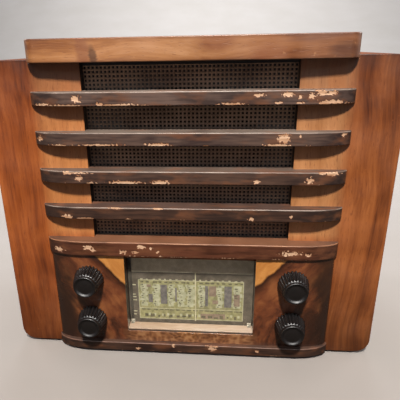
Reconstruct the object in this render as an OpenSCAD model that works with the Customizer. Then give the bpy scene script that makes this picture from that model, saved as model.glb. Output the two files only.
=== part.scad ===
// Wooden table radio of the late 1930s: a wide veneered cabinet with a capped centre,
// four lacquered louvres over the speaker cloth, and a dial flanked by four bakelite knobs.
// Millimetres. +Z is up, the front faces -Y, and the origin is the bottom centre of the
// whole object. Inside placed(), y = 0 is the front panel's face and z = 0 its lower edge.

/* [Cabinet] */
// Width over the two wings of the front
cabinet_w = 480; // [460:1:520]
// Height of the cabinet without its cap and feet
cabinet_h = 382; // [378:1:400]
// Depth from the front panel's face to the back edge
cabinet_d = 250; // [248:1:300]
// Radius of the four long corners
corner_r = 18; // [16:1:32]
// Thickness of the cabinet boards
wall_t = 12; // [10:1:14]
// Thickness of the front panel
panel_t = 8; // [7:0.5:9]
// Height of the rubber feet
foot_h = 4; // [2:0.5:8]

/* [Cap and bars] */
// Width of the cap board
cap_w = 366; // [350:1:380]
// Thickness of the cap board
cap_t = 25.5; // [20:0.5:30]
// Depth that the cap board is let into the cabinet top
cap_sink = 3.5; // [2:0.5:5]
// Reach of the cap board in front of the front panel
cap_reach = 17; // [12:0.5:19]
// Radius of the cap board's front corners in plan
cap_corner_r = 16; // [8:1:17]
// How far the cap board's front falls back towards its corners
cap_bow = 2.5; // [0:0.5:4]
// Width of the louvres, the waist bar and the base rail
bar_w = 368; // [350:1:380]
// Length of each rounded end of a bar, along the cabinet's width
bar_end = 50; // [30:1:70]
// Height of the topmost louvre's upper face
louvre_top = 347; // [346:0.5:350]
// Distance from one louvre to the next
louvre_pitch = 46; // [45:0.25:46.5]
// Thickness of a louvre
louvre_t = 15.6; // [12:0.2:18]
// Reach of a louvre in front of the front panel
louvre_reach = 14.6; // [10:0.2:18]
// Thickness of the waist bar above the dial
waist_t = 19.6; // [18:0.2:21]
// Reach of the waist bar
waist_reach = 16.4; // [14:0.2:19]
// Thickness of the base rail
base_t = 13; // [11:0.5:15]
// Reach of the base rail
base_reach = 18.4; // [14:0.2:20]
// Width of the grille opening
grille_w = 246; // [240:1:250]

/* [Dial and knobs] */
// Reach of the knob panel
knob_panel_reach = 12.4; // [9:0.2:13.5]
// Width of the dial window
window_w = 168; // [164:1:170]
// Height of the window's lower edge
window_bottom = 31; // [30:0.5:34]
// Sideways distance from the centre to each knob
knob_x = 131; // [126:1:134]
// Height of the lower pair of knobs
knob_low_z = 48; // [46:0.5:50]
// Height of the upper pair of knobs
knob_high_z = 109; // [106:0.5:112]
// Diameter of a knob at its base
knob_d = 39; // [34:0.5:42]
// Diameter of a knob's face ring
knob_face_d = 29; // [26:0.5:32]
// Length of a knob
knob_len = 24; // [20:0.5:28]
// Number of flutes round a knob
knob_flutes = 24; // [18:1:30]

/* [Works] */
// Radius at which the cord runs on the drive drum
drum_r = 42; // [40:0.5:43]
// Radius of the control spindles
spindle_r = 3; // [2.8:0.1:3.2]
// Outer radius of the loudspeaker
speaker_r = 101; // [98:1:104]
// Place of the pointer along the scale at rest
pointer_x = 7; // [0:1:10]

/* [Hidden] */
$fn = 48;
gap = 0.05;                       // radial running clearance of shafts in their bores
knob_gap = 0.8;                   // air between a knob and the knob panel
cap_bottom = cabinet_h - cap_sink;
waist_top = louvre_top - 4 * louvre_pitch;
waist_bottom = waist_top - waist_t;
front_reach = knob_panel_reach + knob_gap + knob_len;
panel_y = (front_reach - cabinet_d) / 2;
shell_y = panel_t;                // where the sides, top and bottom start
inner_w = cabinet_w - 2 * wall_t;
inner_r = corner_r - wall_t;
window_top = waist_bottom - 10.2;
grille_bottom = waist_bottom + 8.6;
knob_places = [[-knob_x, knob_high_z], [-knob_x, knob_low_z],
               [knob_x, knob_high_z], [knob_x, knob_low_z]];
UPPER_LEFT = knob_places[0];
LOWER_LEFT = knob_places[1];
UPPER_RIGHT = knob_places[2];
LOWER_RIGHT = knob_places[3];

// The frame that holds the cloth, the speaker board and everything behind it
cloth_y = panel_t + 6;
cloth_rail = 4;
baffle_y = cloth_y + 1;
baffle_t = 12;
baffle_w = 300;
baffle_bottom = grille_bottom;
speaker_z = 266;
basket_y = baffle_y + baffle_t;
magnet_y = basket_y + 66;
magnet_r = 45;
magnet_len = 43;
coil_r = 13;

// The dial, from the front to the back
glass_y = 6;
glass_t = 2;
pointer_y = 9.7;
scale_y = 11;
scale_t = 1;
bed_y = scale_y + scale_t;
sheet_t = 1.2;
rail_y = 16;
rail_z = 124;
rail_r = 1.5;
cord_y = 24;
cord_r = 0.4;
frame_y = 29;
frame_side_x = 86;
frame_w = 300;
frame_bottom = 14;
frame_top = 151;
bed_top = 113;
lamp_x = 98;
lamp_z = 76;
pulley_r = 6;
pulley_x = 100;
drum_z = 102;
drum_rim = 2.5;                   // height of the drum's flanges over the cord
cord_lift = cord_r + 0.35;        // from a groove's floor to the middle of the cord
pulley_z = drum_z + drum_r - 1;
cord_top = pulley_z + pulley_r + cord_lift;

// The chassis and what stands on it
chassis_y = frame_y + sheet_t;
chassis_w = 390;
chassis_d = 176;
chassis_bottom = wall_t;
chassis_top = 72;
gang_y = 60;                      // front of the tuning capacitor
gang_len = 76;
gang_plate_r = 22;
valve_places = [[-160, 165], [-105, 120], [-60, 175], [0, 178], [165, 178]];
if_places = [[-160, 95], [75, 120]];
can_places = [[60, 178], [105, 178]];
terminal_x = [-36, -12, 12, 36];
terminal_z = 44;
back_y = cabinet_d - 7;
back_t = 3;
screw_r = 1.7;
screw_len = 9;
grommet_x = 150;
grommet_z = 44;
bolt_places = [[-175, 60], [175, 60], [-175, 180], [175, 180]];
foot_places = [[-205, 30], [205, 30], [-205, 220], [205, 220]];
screw_places = [for (x = [-1, 1], z = [90, 191, 292]) [x * (inner_w / 2 - 6), z]];

// ---- Shared shapes ----

// Moves the working frame, front panel face and lower edge, to the object's own frame
module placed() {
    translate([0, panel_y, foot_h]) children();
}

// A cylinder along Y from y0 to y1, round the point x, z
module rod_y(x, z, y0, y1, r) {
    translate([x, y0, z]) rotate([-90, 0, 0]) cylinder(h = y1 - y0, r = r);
}

// A box between two corners
module box(low, high) {
    translate(low) cube(high - low);
}

// A rectangle with round corners, its lower edge on z = low
module round_outline(w, low, high, r) {
    for (x = [-w / 2 + r, w / 2 - r], z = [low + r, high - r])
        translate([x, z]) circle(r = r);
    translate([-w / 2 + r, low]) square([w - 2 * r, high - low]);
    translate([-w / 2, low + r]) square([w, high - low - 2 * r]);
}

// Extrudes an outline drawn in X and Z along Y, from y0 to y1
module slab_y(y0, y1) {
    translate([0, y1, 0]) rotate([90, 0, 0]) linear_extrude(y1 - y0) children();
}

// The hollow box section of the cabinet, drawn in X and Z
module shell_outline() {
    difference() {
        round_outline(cabinet_w, 0, cabinet_h, corner_r);
        round_outline(inner_w, wall_t, cabinet_h - wall_t, inner_r);
    }
}

// Plan of a bar: a straight front whose two ends run back in quarter ellipses
module bar_plan(w, reach, end) {
    steps = 12;
    right = [for (i = [0 : steps]) let (a = 90 * i / steps)
             [w / 2 - end + end * sin(a), -reach * cos(a)]];
    left = [for (i = [steps : -1 : 0]) [-right[i][0], right[i][1]]];
    polygon(concat(right, left));
}

// A bar on the front panel, with a tongue that runs back through the grille opening
module bar(top, t, reach) {
    translate([0, 0, top - t]) linear_extrude(t) bar_plan(bar_w, reach, bar_end);
    box([-grille_w / 2, -0.5, top - t], [grille_w / 2, panel_t, top]);
}

// One louvre, counted from the top
module louvre(index) {
    placed() bar(louvre_top - (index - 1) * louvre_pitch, louvre_t, louvre_reach);
}

// A fluted knob whose axis passes through the point x, z
module knob(place) {
    base_r = knob_d / 2;
    face_r = knob_face_d / 2;
    back = -knob_panel_reach - knob_gap;
    placed() translate([place[0], back, place[1]]) rotate([90, 0, 0]) difference() {
        rotate_extrude() polygon([[spindle_r, 0], [base_r, 0], [base_r, 2],
            [face_r + 2.2, knob_len - 6], [face_r + 0.4, knob_len - 4.5],
            [face_r, knob_len - 0.6], [face_r - 0.8, knob_len], [face_r - 2.4, knob_len],
            [face_r - 3.2, knob_len - 2.2], [4, knob_len - 1.2], [0, knob_len - 1.1],
            [0, knob_len - 8], [spindle_r, knob_len - 8]]);
        for (i = [0 : knob_flutes - 1])
            rotate([0, 0, 360 * i / knob_flutes]) translate([base_r + 0.9, 0, 1.2])
                rotate([0, -atan((base_r - face_r - 2.2) / (knob_len - 8)), 0])
                cylinder(h = knob_len - 4, r = 1.5, $fn = 16);
    }
}

// A control spindle from the back of its knob's socket to y = back
module spindle(place, back) {
    front = -knob_panel_reach - knob_gap - knob_len + 8;
    placed() rod_y(place[0], place[1], front, back, spindle_r);
}

// A grooved wheel along Y, its groove floor at radius r, bored for a shaft
module grooved_wheel(r, flange, half_w, bore_r) {
    rotate([90, 0, 0]) rotate_extrude() polygon([[bore_r, -half_w], [r + flange, -half_w],
        [r + flange, 0.6 - half_w], [r, -0.9], [r, 0.9], [r + flange, half_w - 0.6],
        [r + flange, half_w], [bore_r, half_w]]);
}

// ---- Cabinet ----

// Plywood front with its wings, cut out for the grille, the dial and the spindles
module front_panel() color("#95532c") placed() difference() {
    slab_y(0, panel_t) round_outline(cabinet_w, 0, cabinet_h, corner_r);
    box([-cap_w / 2, -1, cap_bottom], [cap_w / 2, panel_t + 1, cabinet_h + 1]);
    box([-grille_w / 2, -1, grille_bottom], [grille_w / 2, panel_t + 1, cabinet_h + 1]);
    box([-window_w / 2, -1, window_bottom - 2], [window_w / 2, panel_t + 1, window_top]);
    for (p = knob_places) rod_y(p[0], p[1], -1, panel_t + 1, 7);
}

// Top board, housed for the cap and cut back for the cloth's frame and the speaker board
module cabinet_top() color("#8a4c28") placed() difference() {
    slab_y(shell_y, cabinet_d) intersection() {
        shell_outline();
        translate([-cabinet_w / 2 + corner_r, cabinet_h - wall_t])
            square([cabinet_w - 2 * corner_r, wall_t]);
    }
    box([-cap_w / 2, 0, cap_bottom], [cap_w / 2, cabinet_d + 1, cabinet_h + 1]);
    box([-baffle_w / 2, 0, 0], [baffle_w / 2, baffle_y + baffle_t, cabinet_h + 1]);
}

// Bottom board, drilled for the bolts that hold the chassis
module cabinet_bottom() color("#7a4526") placed() difference() {
    box([-cabinet_w / 2 + corner_r, shell_y, 0], [cabinet_w / 2 - corner_r, cabinet_d, wall_t]);
    for (p = bolt_places) translate([p[0], p[1], -1]) cylinder(h = wall_t + 2, r = 2.5);
}

// A side board between its two corner mouldings; side is -1 on the left, 1 on the right
module side_board(side) {
    x = side * (cabinet_w / 2 - wall_t / 2);
    box([x - wall_t / 2, shell_y, corner_r], [x + wall_t / 2, cabinet_d, cabinet_h - corner_r]);
}
module side_left() color("#8a4c28") placed() side_board(-1);
module side_right() color("#8a4c28") placed() side_board(1);

// Four quarter-round mouldings that join the boards along the long corners
module corner_mouldings() color("#83472a") placed() slab_y(shell_y, cabinet_d)
    for (sx = [-1, 1], sz = [0, 1]) {
        cx = sx * (cabinet_w / 2 - corner_r);
        cz = sz == 0 ? corner_r : cabinet_h - corner_r;
        intersection() {
            translate([cx, cz]) difference() {
                circle(r = corner_r);
                circle(r = inner_r);
            }
            translate([sx < 0 ? cx - corner_r : cx, sz == 0 ? cz - corner_r : cz])
                square(corner_r);
        }
    }

// Thick veneered board that caps the centre and overhangs the front, its front slightly bowed
module cap_board() color("#b0713c") placed() translate([0, 0, cap_bottom]) linear_extrude(cap_t) {
    end_front = cap_bow - cap_reach;
    round_x = cap_w / 2 - cap_corner_r;
    union() {
        for (x = [-1, 1])
            translate([x * round_x, end_front + cap_corner_r]) circle(r = cap_corner_r);
        polygon([
            [-round_x, end_front], [-cap_w / 3, -cap_reach], [cap_w / 3, -cap_reach],
            [round_x, end_front], [round_x, cabinet_d], [-round_x, cabinet_d]]);
        translate([-cap_w / 2, end_front + cap_corner_r])
            square([cap_w, cabinet_d - end_front - cap_corner_r]);
    }
}

// Two upright battens, drilled for the back cover's screws, and two level ones
module back_battens() color("#b98a5c") placed() {
    y0 = back_y - wall_t;
    difference() {
        for (x = [-inner_w / 2, inner_w / 2 - wall_t])
            box([x, y0, corner_r], [x + wall_t, back_y, cabinet_h - corner_r]);
        for (p = screw_places) rod_y(p[0], p[1], back_y - screw_len - 0.5, back_y + 1, screw_r + gap);
    }
    for (z = [wall_t, cabinet_h - 2 * wall_t])
        box([-inner_w / 2 + corner_r, y0, z], [inner_w / 2 - corner_r, back_y, z + wall_t]);
}

// ---- Bars on the front ----

module louvre_1() color("#3b2b27") louvre(1);
module louvre_2() color("#3b2b27") louvre(2);
module louvre_3() color("#3b2b27") louvre(3);
module louvre_4() color("#3b2b27") louvre(4);

// Heavier reddish bar between the grille and the dial; it closes the grille's lower edge
module waist_bar() color("#5a2f22") placed() {
    translate([0, 0, waist_bottom]) linear_extrude(waist_t) bar_plan(bar_w, waist_reach, bar_end);
    box([-grille_w / 2, -0.5, grille_bottom], [grille_w / 2, panel_t, waist_top]);
}

// Dark rail along the lower edge
module base_rail() color("#3a2422") placed() translate([0, 0, 0.6]) linear_extrude(base_t)
    bar_plan(bar_w, base_reach, bar_end);

// ---- Knob panel and dial ----

// Figured walnut block round the dial window, between the base rail and the waist bar
module knob_panel() color("#70401f") placed() difference() {
    translate([0, 0, base_t + 0.6]) linear_extrude(waist_bottom - base_t - 0.6)
        bar_plan(bar_w - 4, knob_panel_reach, bar_end - 2);
    box([-window_w / 2, -knob_panel_reach - 1, window_bottom - 2],
        [window_w / 2, 1, waist_bottom + 1]);
    for (p = knob_places) rod_y(p[0], p[1], -knob_panel_reach - 1, 1, 5);
}

// Pale strip that lines the lower edge of the dial window
module dial_sill() color("#c98f62") placed()
    box([-window_w / 2, -knob_panel_reach + 3.4, window_bottom - 2],
        [window_w / 2, glass_y - 0.4, window_bottom]);

// Two small clips, one at each end of the sill, that hold the glass down
module dial_clips() color("#b9b3a4") placed() for (s = [-1, 1])
    translate([s * (window_w / 2 - 4), 0, 0]) {
        box([-2.5, 0.6, window_bottom], [2.5, glass_y - 0.4, window_bottom + 0.8]);
        box([-2.5, glass_y - 1.2, window_bottom], [2.5, glass_y, window_bottom + 5]);
        translate([0, 2.6, window_bottom]) cylinder(h = 1.9, r = 1.6);
    }

// Clear glass over the scale
module dial_glass() color("#cfd8d0", 0.35) placed()
    box([-window_w / 2 + 0.3, glass_y, window_bottom - 2 + 0.3],
        [window_w / 2 - 0.3, glass_y + glass_t, window_top - 0.3]);

// Printed scale plate
module dial_scale() color("#a8a86a") placed()
    box([-frame_side_x + 0.5, scale_y, 22], [frame_side_x - 0.5, scale_y + scale_t, bed_top - 1]);

// Pressed steel frame: bed behind the scale, two sides, a back plate and two pulley studs
module dial_frame() color("#8d9092") placed() {
    difference() {
        box([-frame_w / 2, frame_y, frame_bottom], [frame_w / 2, frame_y + sheet_t, frame_top]);
        for (p = knob_places) rod_y(p[0], p[1], frame_y - 1, frame_y + 2, 5);
        rod_y(0, drum_z, frame_y - 1, frame_y + 2, spindle_r + 1.5);
    }
    box([-frame_side_x - sheet_t, bed_y, 20], [frame_side_x + sheet_t, bed_y + sheet_t, bed_top]);
    for (s = [-1, 1]) difference() {
        x = s * (frame_side_x + sheet_t / 2);
        box([x - sheet_t / 2, bed_y, 20], [x + sheet_t / 2, frame_y + 0.1, rail_z + 4]);
        translate([x - 2, rail_y, rail_z]) rotate([0, 90, 0]) cylinder(h = 4, r = rail_r);
        box([x - 2, cord_y - 3, knob_low_z - 8], [x + 2, cord_y + 3, rail_z + 5]);
    }
    for (s = [-1, 1])
        rod_y(s * pulley_x, pulley_z, cord_y - 3.2, frame_y + 0.1, rail_r);
}

// Two small lamps in their holders, one at each side of the scale
module dial_lamps() color("#d8cfae") placed() for (s = [-1, 1]) translate([s * lamp_x, 0, 0]) {
    rod_y(0, lamp_z, 23, frame_y, 5);
    rod_y(0, lamp_z, 13, 23, 4);
    translate([0, 13, lamp_z]) sphere(r = 4);
}

// Steel rod that the pointer's carriage runs on
module pointer_rail() color("#a9abad") placed()
    translate([-frame_side_x - sheet_t, rail_y, rail_z]) rotate([0, 90, 0])
        cylinder(h = 2 * (frame_side_x + sheet_t), r = rail_r);

// Cream pointer on its carriage, with an arm that clips to the drive cord above the drum
module dial_pointer() color("#e8e0b8") placed() translate([pointer_x, 0, 0]) {
    difference() {
        union() {
            box([-6, rail_y - 2.6, rail_z - 3], [6, rail_y + 2.6, rail_z + 3]);
            box([-3, rail_y + 1.6, rail_z + 2.9], [3, rail_y + 2.6, cord_top + 1]);
            box([-3, rail_y + 2.5, cord_top - 1], [3, cord_y - cord_r - 0.5, cord_top + 1]);
            box([-0.8, pointer_y - 0.8, rail_z - 5], [0.8, rail_y - 2, rail_z - 3 + 0.4]);
        }
        translate([-7, rail_y, rail_z]) rotate([0, 90, 0]) cylinder(h = 14, r = rail_r + gap);
    }
    translate([0, pointer_y, window_bottom + 2])
        cylinder(h = rail_z - 4 - window_bottom - 2, r = 0.8);
}

// ---- Cord drive ----

// Straight run of drive cord between two points, drawn in X and Z
module cord_run(a, b) {
    d = b - a;
    translate(a) rotate(atan2(d[1], d[0])) translate([0, -cord_r]) square([norm(d), 2 * cord_r]);
}

// One turn of cord round a wheel, drawn in X and Z a little thicker than the runs
module cord_turn(centre, r) {
    translate(centre) difference() {
        circle(r = r + cord_r + 0.05);
        circle(r = r - cord_r - 0.05);
    }
}

// Angle of the point where the cord leaves wheel a for wheel b; side 1 or -1 picks the tangent
function leave_angle(a, ra, b, rb, side) =
    atan2(b[1] - a[1], b[0] - a[0]) + side * acos((ra - rb) / norm(b - a));

// Point at an angle on a wheel
function on_wheel(centre, r, angle) = centre + r * [cos(angle), sin(angle)];

// Drive cord: one turn round each pulley, the drum and the tuning spindle
module dial_cord() color("#cfc6a8") placed() slab_y(cord_y - cord_r, cord_y + cord_r) {
    left = [-pulley_x, pulley_z];
    right = [pulley_x, pulley_z];
    drum = [0, drum_z];
    rp = pulley_r + cord_lift;
    rd = drum_r + cord_lift;
    rs = spindle_r + cord_lift;
    to_drum = leave_angle(left, rp, drum, rd, -1);
    to_spindle = leave_angle(drum, rd, LOWER_RIGHT, rs, -1);
    from_right = leave_angle(right, rp, LOWER_RIGHT, rs, 1);
    cord_run(on_wheel(left, rp, 90), on_wheel(right, rp, 90));
    cord_run(on_wheel(left, rp, to_drum), on_wheel(drum, rd, to_drum));
    cord_run(on_wheel(drum, rd, to_spindle), on_wheel(LOWER_RIGHT, rs, to_spindle));
    cord_run(on_wheel(right, rp, from_right), on_wheel(LOWER_RIGHT, rs, from_right));
    cord_turn(left, rp);
    cord_turn(right, rp);
    cord_turn(drum, rd);
    cord_turn(LOWER_RIGHT, rs);
}

// Guide pulley on its stud; side is -1 on the left, 1 on the right
module drive_pulley(side) {
    placed() translate([side * pulley_x, cord_y, pulley_z])
        grooved_wheel(pulley_r, 1.6, 2.4, rail_r + gap);
}
module pulley_left() color("#b9a36a") drive_pulley(-1);
module pulley_right() color("#b9a36a") drive_pulley(1);

// Large grooved drum fixed on the tuning capacitor's shaft
module drive_drum() color("#b5b7b9") placed() translate([0, cord_y, drum_z]) difference() {
    grooved_wheel(drum_r, drum_rim, 2.6, spindle_r);
    for (i = [0 : 4]) rotate([0, 72 * i, 0]) rod_y(24, 0, -4, 4, 9);
}

// ---- Knobs and spindles ----

module tuning_knob() color("#1c1412") knob(LOWER_RIGHT);
module waveband_knob() color("#1c1412") knob(UPPER_RIGHT);
module tone_knob() color("#1c1412") knob(UPPER_LEFT);
module volume_knob() color("#1c1412") knob(LOWER_LEFT);
module tuning_spindle() color("#a9abad") spindle(LOWER_RIGHT, chassis_y + 10);
module waveband_spindle() color("#a9abad") spindle(UPPER_RIGHT, chassis_y + 9);
module tone_spindle() color("#a9abad") spindle(UPPER_LEFT, chassis_y + 9);
module volume_spindle() color("#a9abad") spindle(LOWER_LEFT, chassis_y + 9);

// Control body behind the frame, with a blind socket for the end of its spindle
module control_body(place, r, y0, len) {
    difference() {
        rod_y(place[0], place[1], y0, y0 + len, r);
        rod_y(place[0], place[1], y0 - 1, y0 + 10, spindle_r + gap);
    }
}

// Tone and volume potentiometers
module potentiometers() color("#8f8f8c") placed() {
    control_body(UPPER_LEFT, 12, chassis_y, 13);
    control_body(LOWER_LEFT, 12, chassis_y + sheet_t, 13);
}

// Rotary wafer switch for the wavebands
module waveband_switch() color("#9a6a3a") placed() {
    control_body(UPPER_RIGHT, 17, chassis_y, 12);
    rod_y(UPPER_RIGHT[0], UPPER_RIGHT[1], chassis_y + 12, chassis_y + 30, 3);
    rod_y(UPPER_RIGHT[0], UPPER_RIGHT[1], chassis_y + 20, chassis_y + 22, 17);
}

// Threaded bushes with their nuts, one round each spindle
module spindle_bushes() color("#b59a55") placed() for (p = knob_places) difference() {
    union() {
        rod_y(p[0], p[1], cord_y + 3, chassis_y + (p[1] == knob_low_z ? sheet_t : 0), 4.9);
        translate([p[0], frame_y, p[1]]) rotate([90, 0, 0]) cylinder(h = 2, r = 8, $fn = 6);
    }
    rod_y(p[0], p[1], 0, chassis_y + 20, spindle_r + gap);
}

// ---- Tuning capacitor ----

// Steel cradle of the tuning capacitor
module capacitor_frame() color("#9ea1a3") placed() {
    box([-30, gang_y, chassis_top], [30, gang_y + gang_len, chassis_top + 2]);
    for (y = [gang_y, gang_y + gang_len - 1.5]) difference() {
        box([-30, y, chassis_top + 1.9], [30, y + 1.5, chassis_top + 56]);
        rod_y(0, drum_z, y - 1, y + 3, spindle_r + gap);
    }
}

// Fixed vanes on two rods
module capacitor_stator() color("#c9cbcc") placed() {
    for (i = [0 : 8]) slab_y(gang_y + 8 + 7 * i, gang_y + 9 + 7 * i) difference() {
        translate([-28, drum_z - 23]) square([24, 46]);
        translate([0, drum_z]) circle(r = 8);
    }
    for (z = [-20, 20]) rod_y(-26, drum_z + z, gang_y + 1.5, gang_y + gang_len - 1.5, 1.5);
}

// Moving vanes on their shaft, which also carries the drive drum
module capacitor_rotor() color("#d5d6d6") placed() {
    rod_y(0, drum_z, cord_y - 6, gang_y + gang_len + 4, spindle_r);
    for (i = [0 : 7]) translate([0, 0, drum_z]) rotate([0, -35, 0])
        slab_y(gang_y + 11.5 + 7 * i, gang_y + 12.5 + 7 * i) intersection() {
            circle(r = gang_plate_r);
            translate([-gang_plate_r - 1, -gang_plate_r - 1])
                square([gang_plate_r + 3, 2 * gang_plate_r + 2]);
        }
}

// ---- Chassis ----

// Folded steel tray on four lugs, punched for the valves, controls and terminals
module chassis() color("#9b9d9c") placed() difference() {
    union() {
        difference() {
            box([-chassis_w / 2, chassis_y, chassis_bottom],
                [chassis_w / 2, chassis_y + chassis_d, chassis_top]);
            box([-chassis_w / 2 + sheet_t, chassis_y + sheet_t, chassis_bottom - 1],
                [chassis_w / 2 - sheet_t, chassis_y + chassis_d - sheet_t, chassis_top - sheet_t]);
        }
        for (p = bolt_places) translate([p[0] > 0 ? p[0] - 10 : p[0] - 19.5, p[1] - 10, chassis_bottom])
            cube([29.5, 20, 2]);
    }
    for (p = bolt_places) translate([p[0], p[1], chassis_bottom - 1]) cylinder(h = 4, r = 2.5);
    for (p = [LOWER_LEFT, LOWER_RIGHT]) rod_y(p[0], p[1], chassis_y - 1, chassis_y + 3, 5);
    for (p = valve_places) translate([p[0], p[1], chassis_top - 5]) cylinder(h = 10, r = 12);
    for (x = terminal_x) rod_y(x, terminal_z, chassis_y + chassis_d - 3, chassis_y + chassis_d + 1, 5);
}

// Moulded valve bases in their holders
module valve_bases() color("#241d1a") placed() for (p = valve_places)
    translate([p[0], p[1], chassis_top]) {
        cylinder(h = 5, r = 17);
        translate([0, 0, 4.9]) cylinder(h = 28, r = 15.5);
    }

// Glass bulbs of the valves
module valve_bulbs() color("#c9d2d4", 0.4) placed() for (p = valve_places)
    translate([p[0], p[1], chassis_top + 32.9]) rotate_extrude() union() {
        square([14.5, 12]);
        translate([0, 10]) square([20, 40]);
        intersection() {
            translate([0, 50]) circle(r = 20);
            translate([0, 40]) square([20, 31]);
        }
    }

// Screening cans of the intermediate-frequency transformers
module if_transformers() color("#b9bbbb") placed() for (p = if_places) {
    box([p[0] - 17, p[1] - 17, chassis_top], [p[0] + 17, p[1] + 17, chassis_top + 82]);
    translate([p[0], p[1], chassis_top + 82]) cylinder(h = 2, r = 5);
}

// Smoothing capacitors in round cans
module smoothing_capacitors() color("#aeb2b4") placed() for (p = can_places)
    translate([p[0], p[1], chassis_top]) {
        cylinder(h = 70, r = 17);
        cylinder(h = 4, r = 19);
    }

// Mains transformer: laminated core between two windings' covers
module mains_transformer() color("#3d3f40") placed() {
    box([112, 66, chassis_top], [188, 132, chassis_top + 14]);
    box([112, 82, chassis_top + 13.9], [188, 116, chassis_top + 80]);
    box([124, 70, chassis_top + 13.9], [176, 128, chassis_top + 66]);
}

// Socket strip on the rear of the chassis, four holes for 4 mm plugs
module terminal_panel() color("#3a2a1e") placed() {
    y0 = chassis_y + chassis_d;
    difference() {
        box([-52, y0, terminal_z - 13], [52, y0 + 9, terminal_z + 13]);
        for (x = terminal_x) rod_y(x, terminal_z, y0 - 1, y0 + 10, 2.05);
    }
}

// Rubber grommet in the back cover where the mains lead leaves
module mains_grommet() color("#232120") placed() difference() {
    union() {
        rod_y(grommet_x, grommet_z, back_y - 3, back_y + back_t + 3, 8);
        rod_y(grommet_x, grommet_z, back_y - 3, back_y, 10.5);
        rod_y(grommet_x, grommet_z, back_y + back_t, back_y + back_t + 3, 10.5);
    }
    rod_y(grommet_x, grommet_z, back_y - 4, back_y + back_t + 4, 4);
}

// ---- Loudspeaker ----

// Plywood board behind the cloth with the round speaker opening
module speaker_baffle() color("#b98a5c") placed() difference() {
    box([-baffle_w / 2, baffle_y, baffle_bottom],
        [baffle_w / 2, baffle_y + baffle_t, cap_bottom]);
    rod_y(0, speaker_z, baffle_y - 1, baffle_y + baffle_t + 1, speaker_r - 11);
}

// Blackened frame that spaces the cloth from the front panel
module cloth_frame() color("#1b1715") placed() difference() {
    box([-baffle_w / 2, panel_t, baffle_bottom], [baffle_w / 2, cloth_y, cap_bottom]);
    box([-grille_w / 2, panel_t - 1, baffle_bottom + cloth_rail],
        [grille_w / 2, cloth_y + 1, cap_bottom - cloth_rail]);
}

// Woven cloth stretched over the front of the baffle
module grille_cloth() color("#4a3f35") placed()
    box([-baffle_w / 2 + 4, cloth_y, baffle_bottom], [baffle_w / 2 - 4, baffle_y, cap_bottom]);

// Pressed steel basket with four windows
module speaker_basket() color("#5c5f60") placed() translate([0, basket_y, speaker_z])
    rotate([-90, 0, 0]) difference() {
        rotate_extrude() polygon([[speaker_r - 10, 0], [speaker_r, 0], [speaker_r, 1.5],
            [speaker_r - 6.5, 1.5], [magnet_r, 64.5], [magnet_r, 66], [coil_r + 3, 66],
            [coil_r + 3, 64.5], [magnet_r - 2.4, 64.5], [speaker_r - 10, 2.5]]);
        for (i = [0 : 3]) rotate([0, 0, 90 * i + 45]) translate([66, 0, 10])
            rotate([0, -atan2(49, 63), 0]) translate([-24, -26, 0]) cube([80, 52, 44]);
    }

// Magnet pot with its centre pole
module speaker_magnet() color("#3c3f41") placed() translate([0, magnet_y, speaker_z])
    rotate([-90, 0, 0]) difference() {
        cylinder(h = magnet_len, r = magnet_r);
        translate([0, 0, -1]) difference() {
            cylinder(h = 19, r = coil_r + 1.6);
            cylinder(h = 19, r = coil_r - 1.4);
        }
    }

// Corrugated ring that hangs the cone in the basket
module cone_surround() color("#6b5a48") placed() translate([0, basket_y, speaker_z])
    rotate([-90, 0, 0]) difference() {
        cylinder(h = 2.5, r = speaker_r - 10);
        translate([0, 0, -1]) cylinder(h = 5, r = speaker_r - 15);
    }

// Paper cone with its voice coil
module speaker_cone() color("#3a332c") placed() translate([0, basket_y, speaker_z])
    rotate([-90, 0, 0]) rotate_extrude() polygon([[speaker_r - 15.5, 1], [speaker_r - 15.5, 2.5],
        [coil_r + 0.6, 52], [coil_r + 0.6, 74], [coil_r - 0.2, 74], [coil_r - 0.2, 52],
        [0, 46], [0, 44.8], [coil_r, 50], [speaker_r - 17.5, 1]]);

// Output transformer saddled on the magnet pot
module output_transformer() color("#46484a") placed() translate([0, magnet_y, speaker_z]) difference() {
    union() {
        box([-24, 4, magnet_r - 4], [24, 38, magnet_r + 6]);
        box([-24, 11, magnet_r + 5.9], [24, 31, magnet_r + 44]);
        box([-15, 5, magnet_r + 5.9], [15, 37, magnet_r + 36]);
    }
    rod_y(0, 0, -1, magnet_len + 1, magnet_r);
}

// ---- Back, feet and fixings ----

// Slot with round ends, drawn in X and Z about its centre
module slot(w, h) {
    square([w - h, h], center = true);
    for (x = [-1, 1]) translate([x * (w - h) / 2, 0]) circle(r = h / 2);
}

// Pressed fibre back with rows of air slots and an opening for the terminals
module back_cover() color("#6b4a30") placed() difference() {
    slab_y(back_y, back_y + back_t) difference() {
        round_outline(inner_w - 1, wall_t + 0.5, cabinet_h - wall_t - 0.5, inner_r - 0.5);
        for (row = [0 : 8], column = [-2 : 2])
            translate([column * 72, 118 + row * 24]) slot(48, 6);
        translate([0, terminal_z]) square([120, 40], center = true);
        for (p = screw_places) translate(p) circle(r = screw_r + gap);
        translate([grommet_x, grommet_z]) circle(r = 8);
    }
}

// Round-headed wood screws that hold the back cover
module back_screws() color("#8a8577") placed() for (p = screw_places) {
    rod_y(p[0], p[1], back_y - screw_len, back_y + back_t + 0.1, screw_r);
    rod_y(p[0], p[1], back_y + back_t, back_y + back_t + 2, 3.6);
}

// Rubber feet
module feet() color("#26221f") placed() for (p = foot_places)
    translate([p[0], p[1], -foot_h]) cylinder(h = foot_h, r = 11);

// Bolts through the bottom board into the chassis
module chassis_bolts() color("#8a8577") placed() for (p = bolt_places) translate([p[0], p[1], 0]) {
    translate([0, 0, -2]) cylinder(h = 2, r = 6, $fn = 6);
    translate([0, 0, -0.1]) cylinder(h = wall_t + 6, r = 2.4);
}

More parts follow.
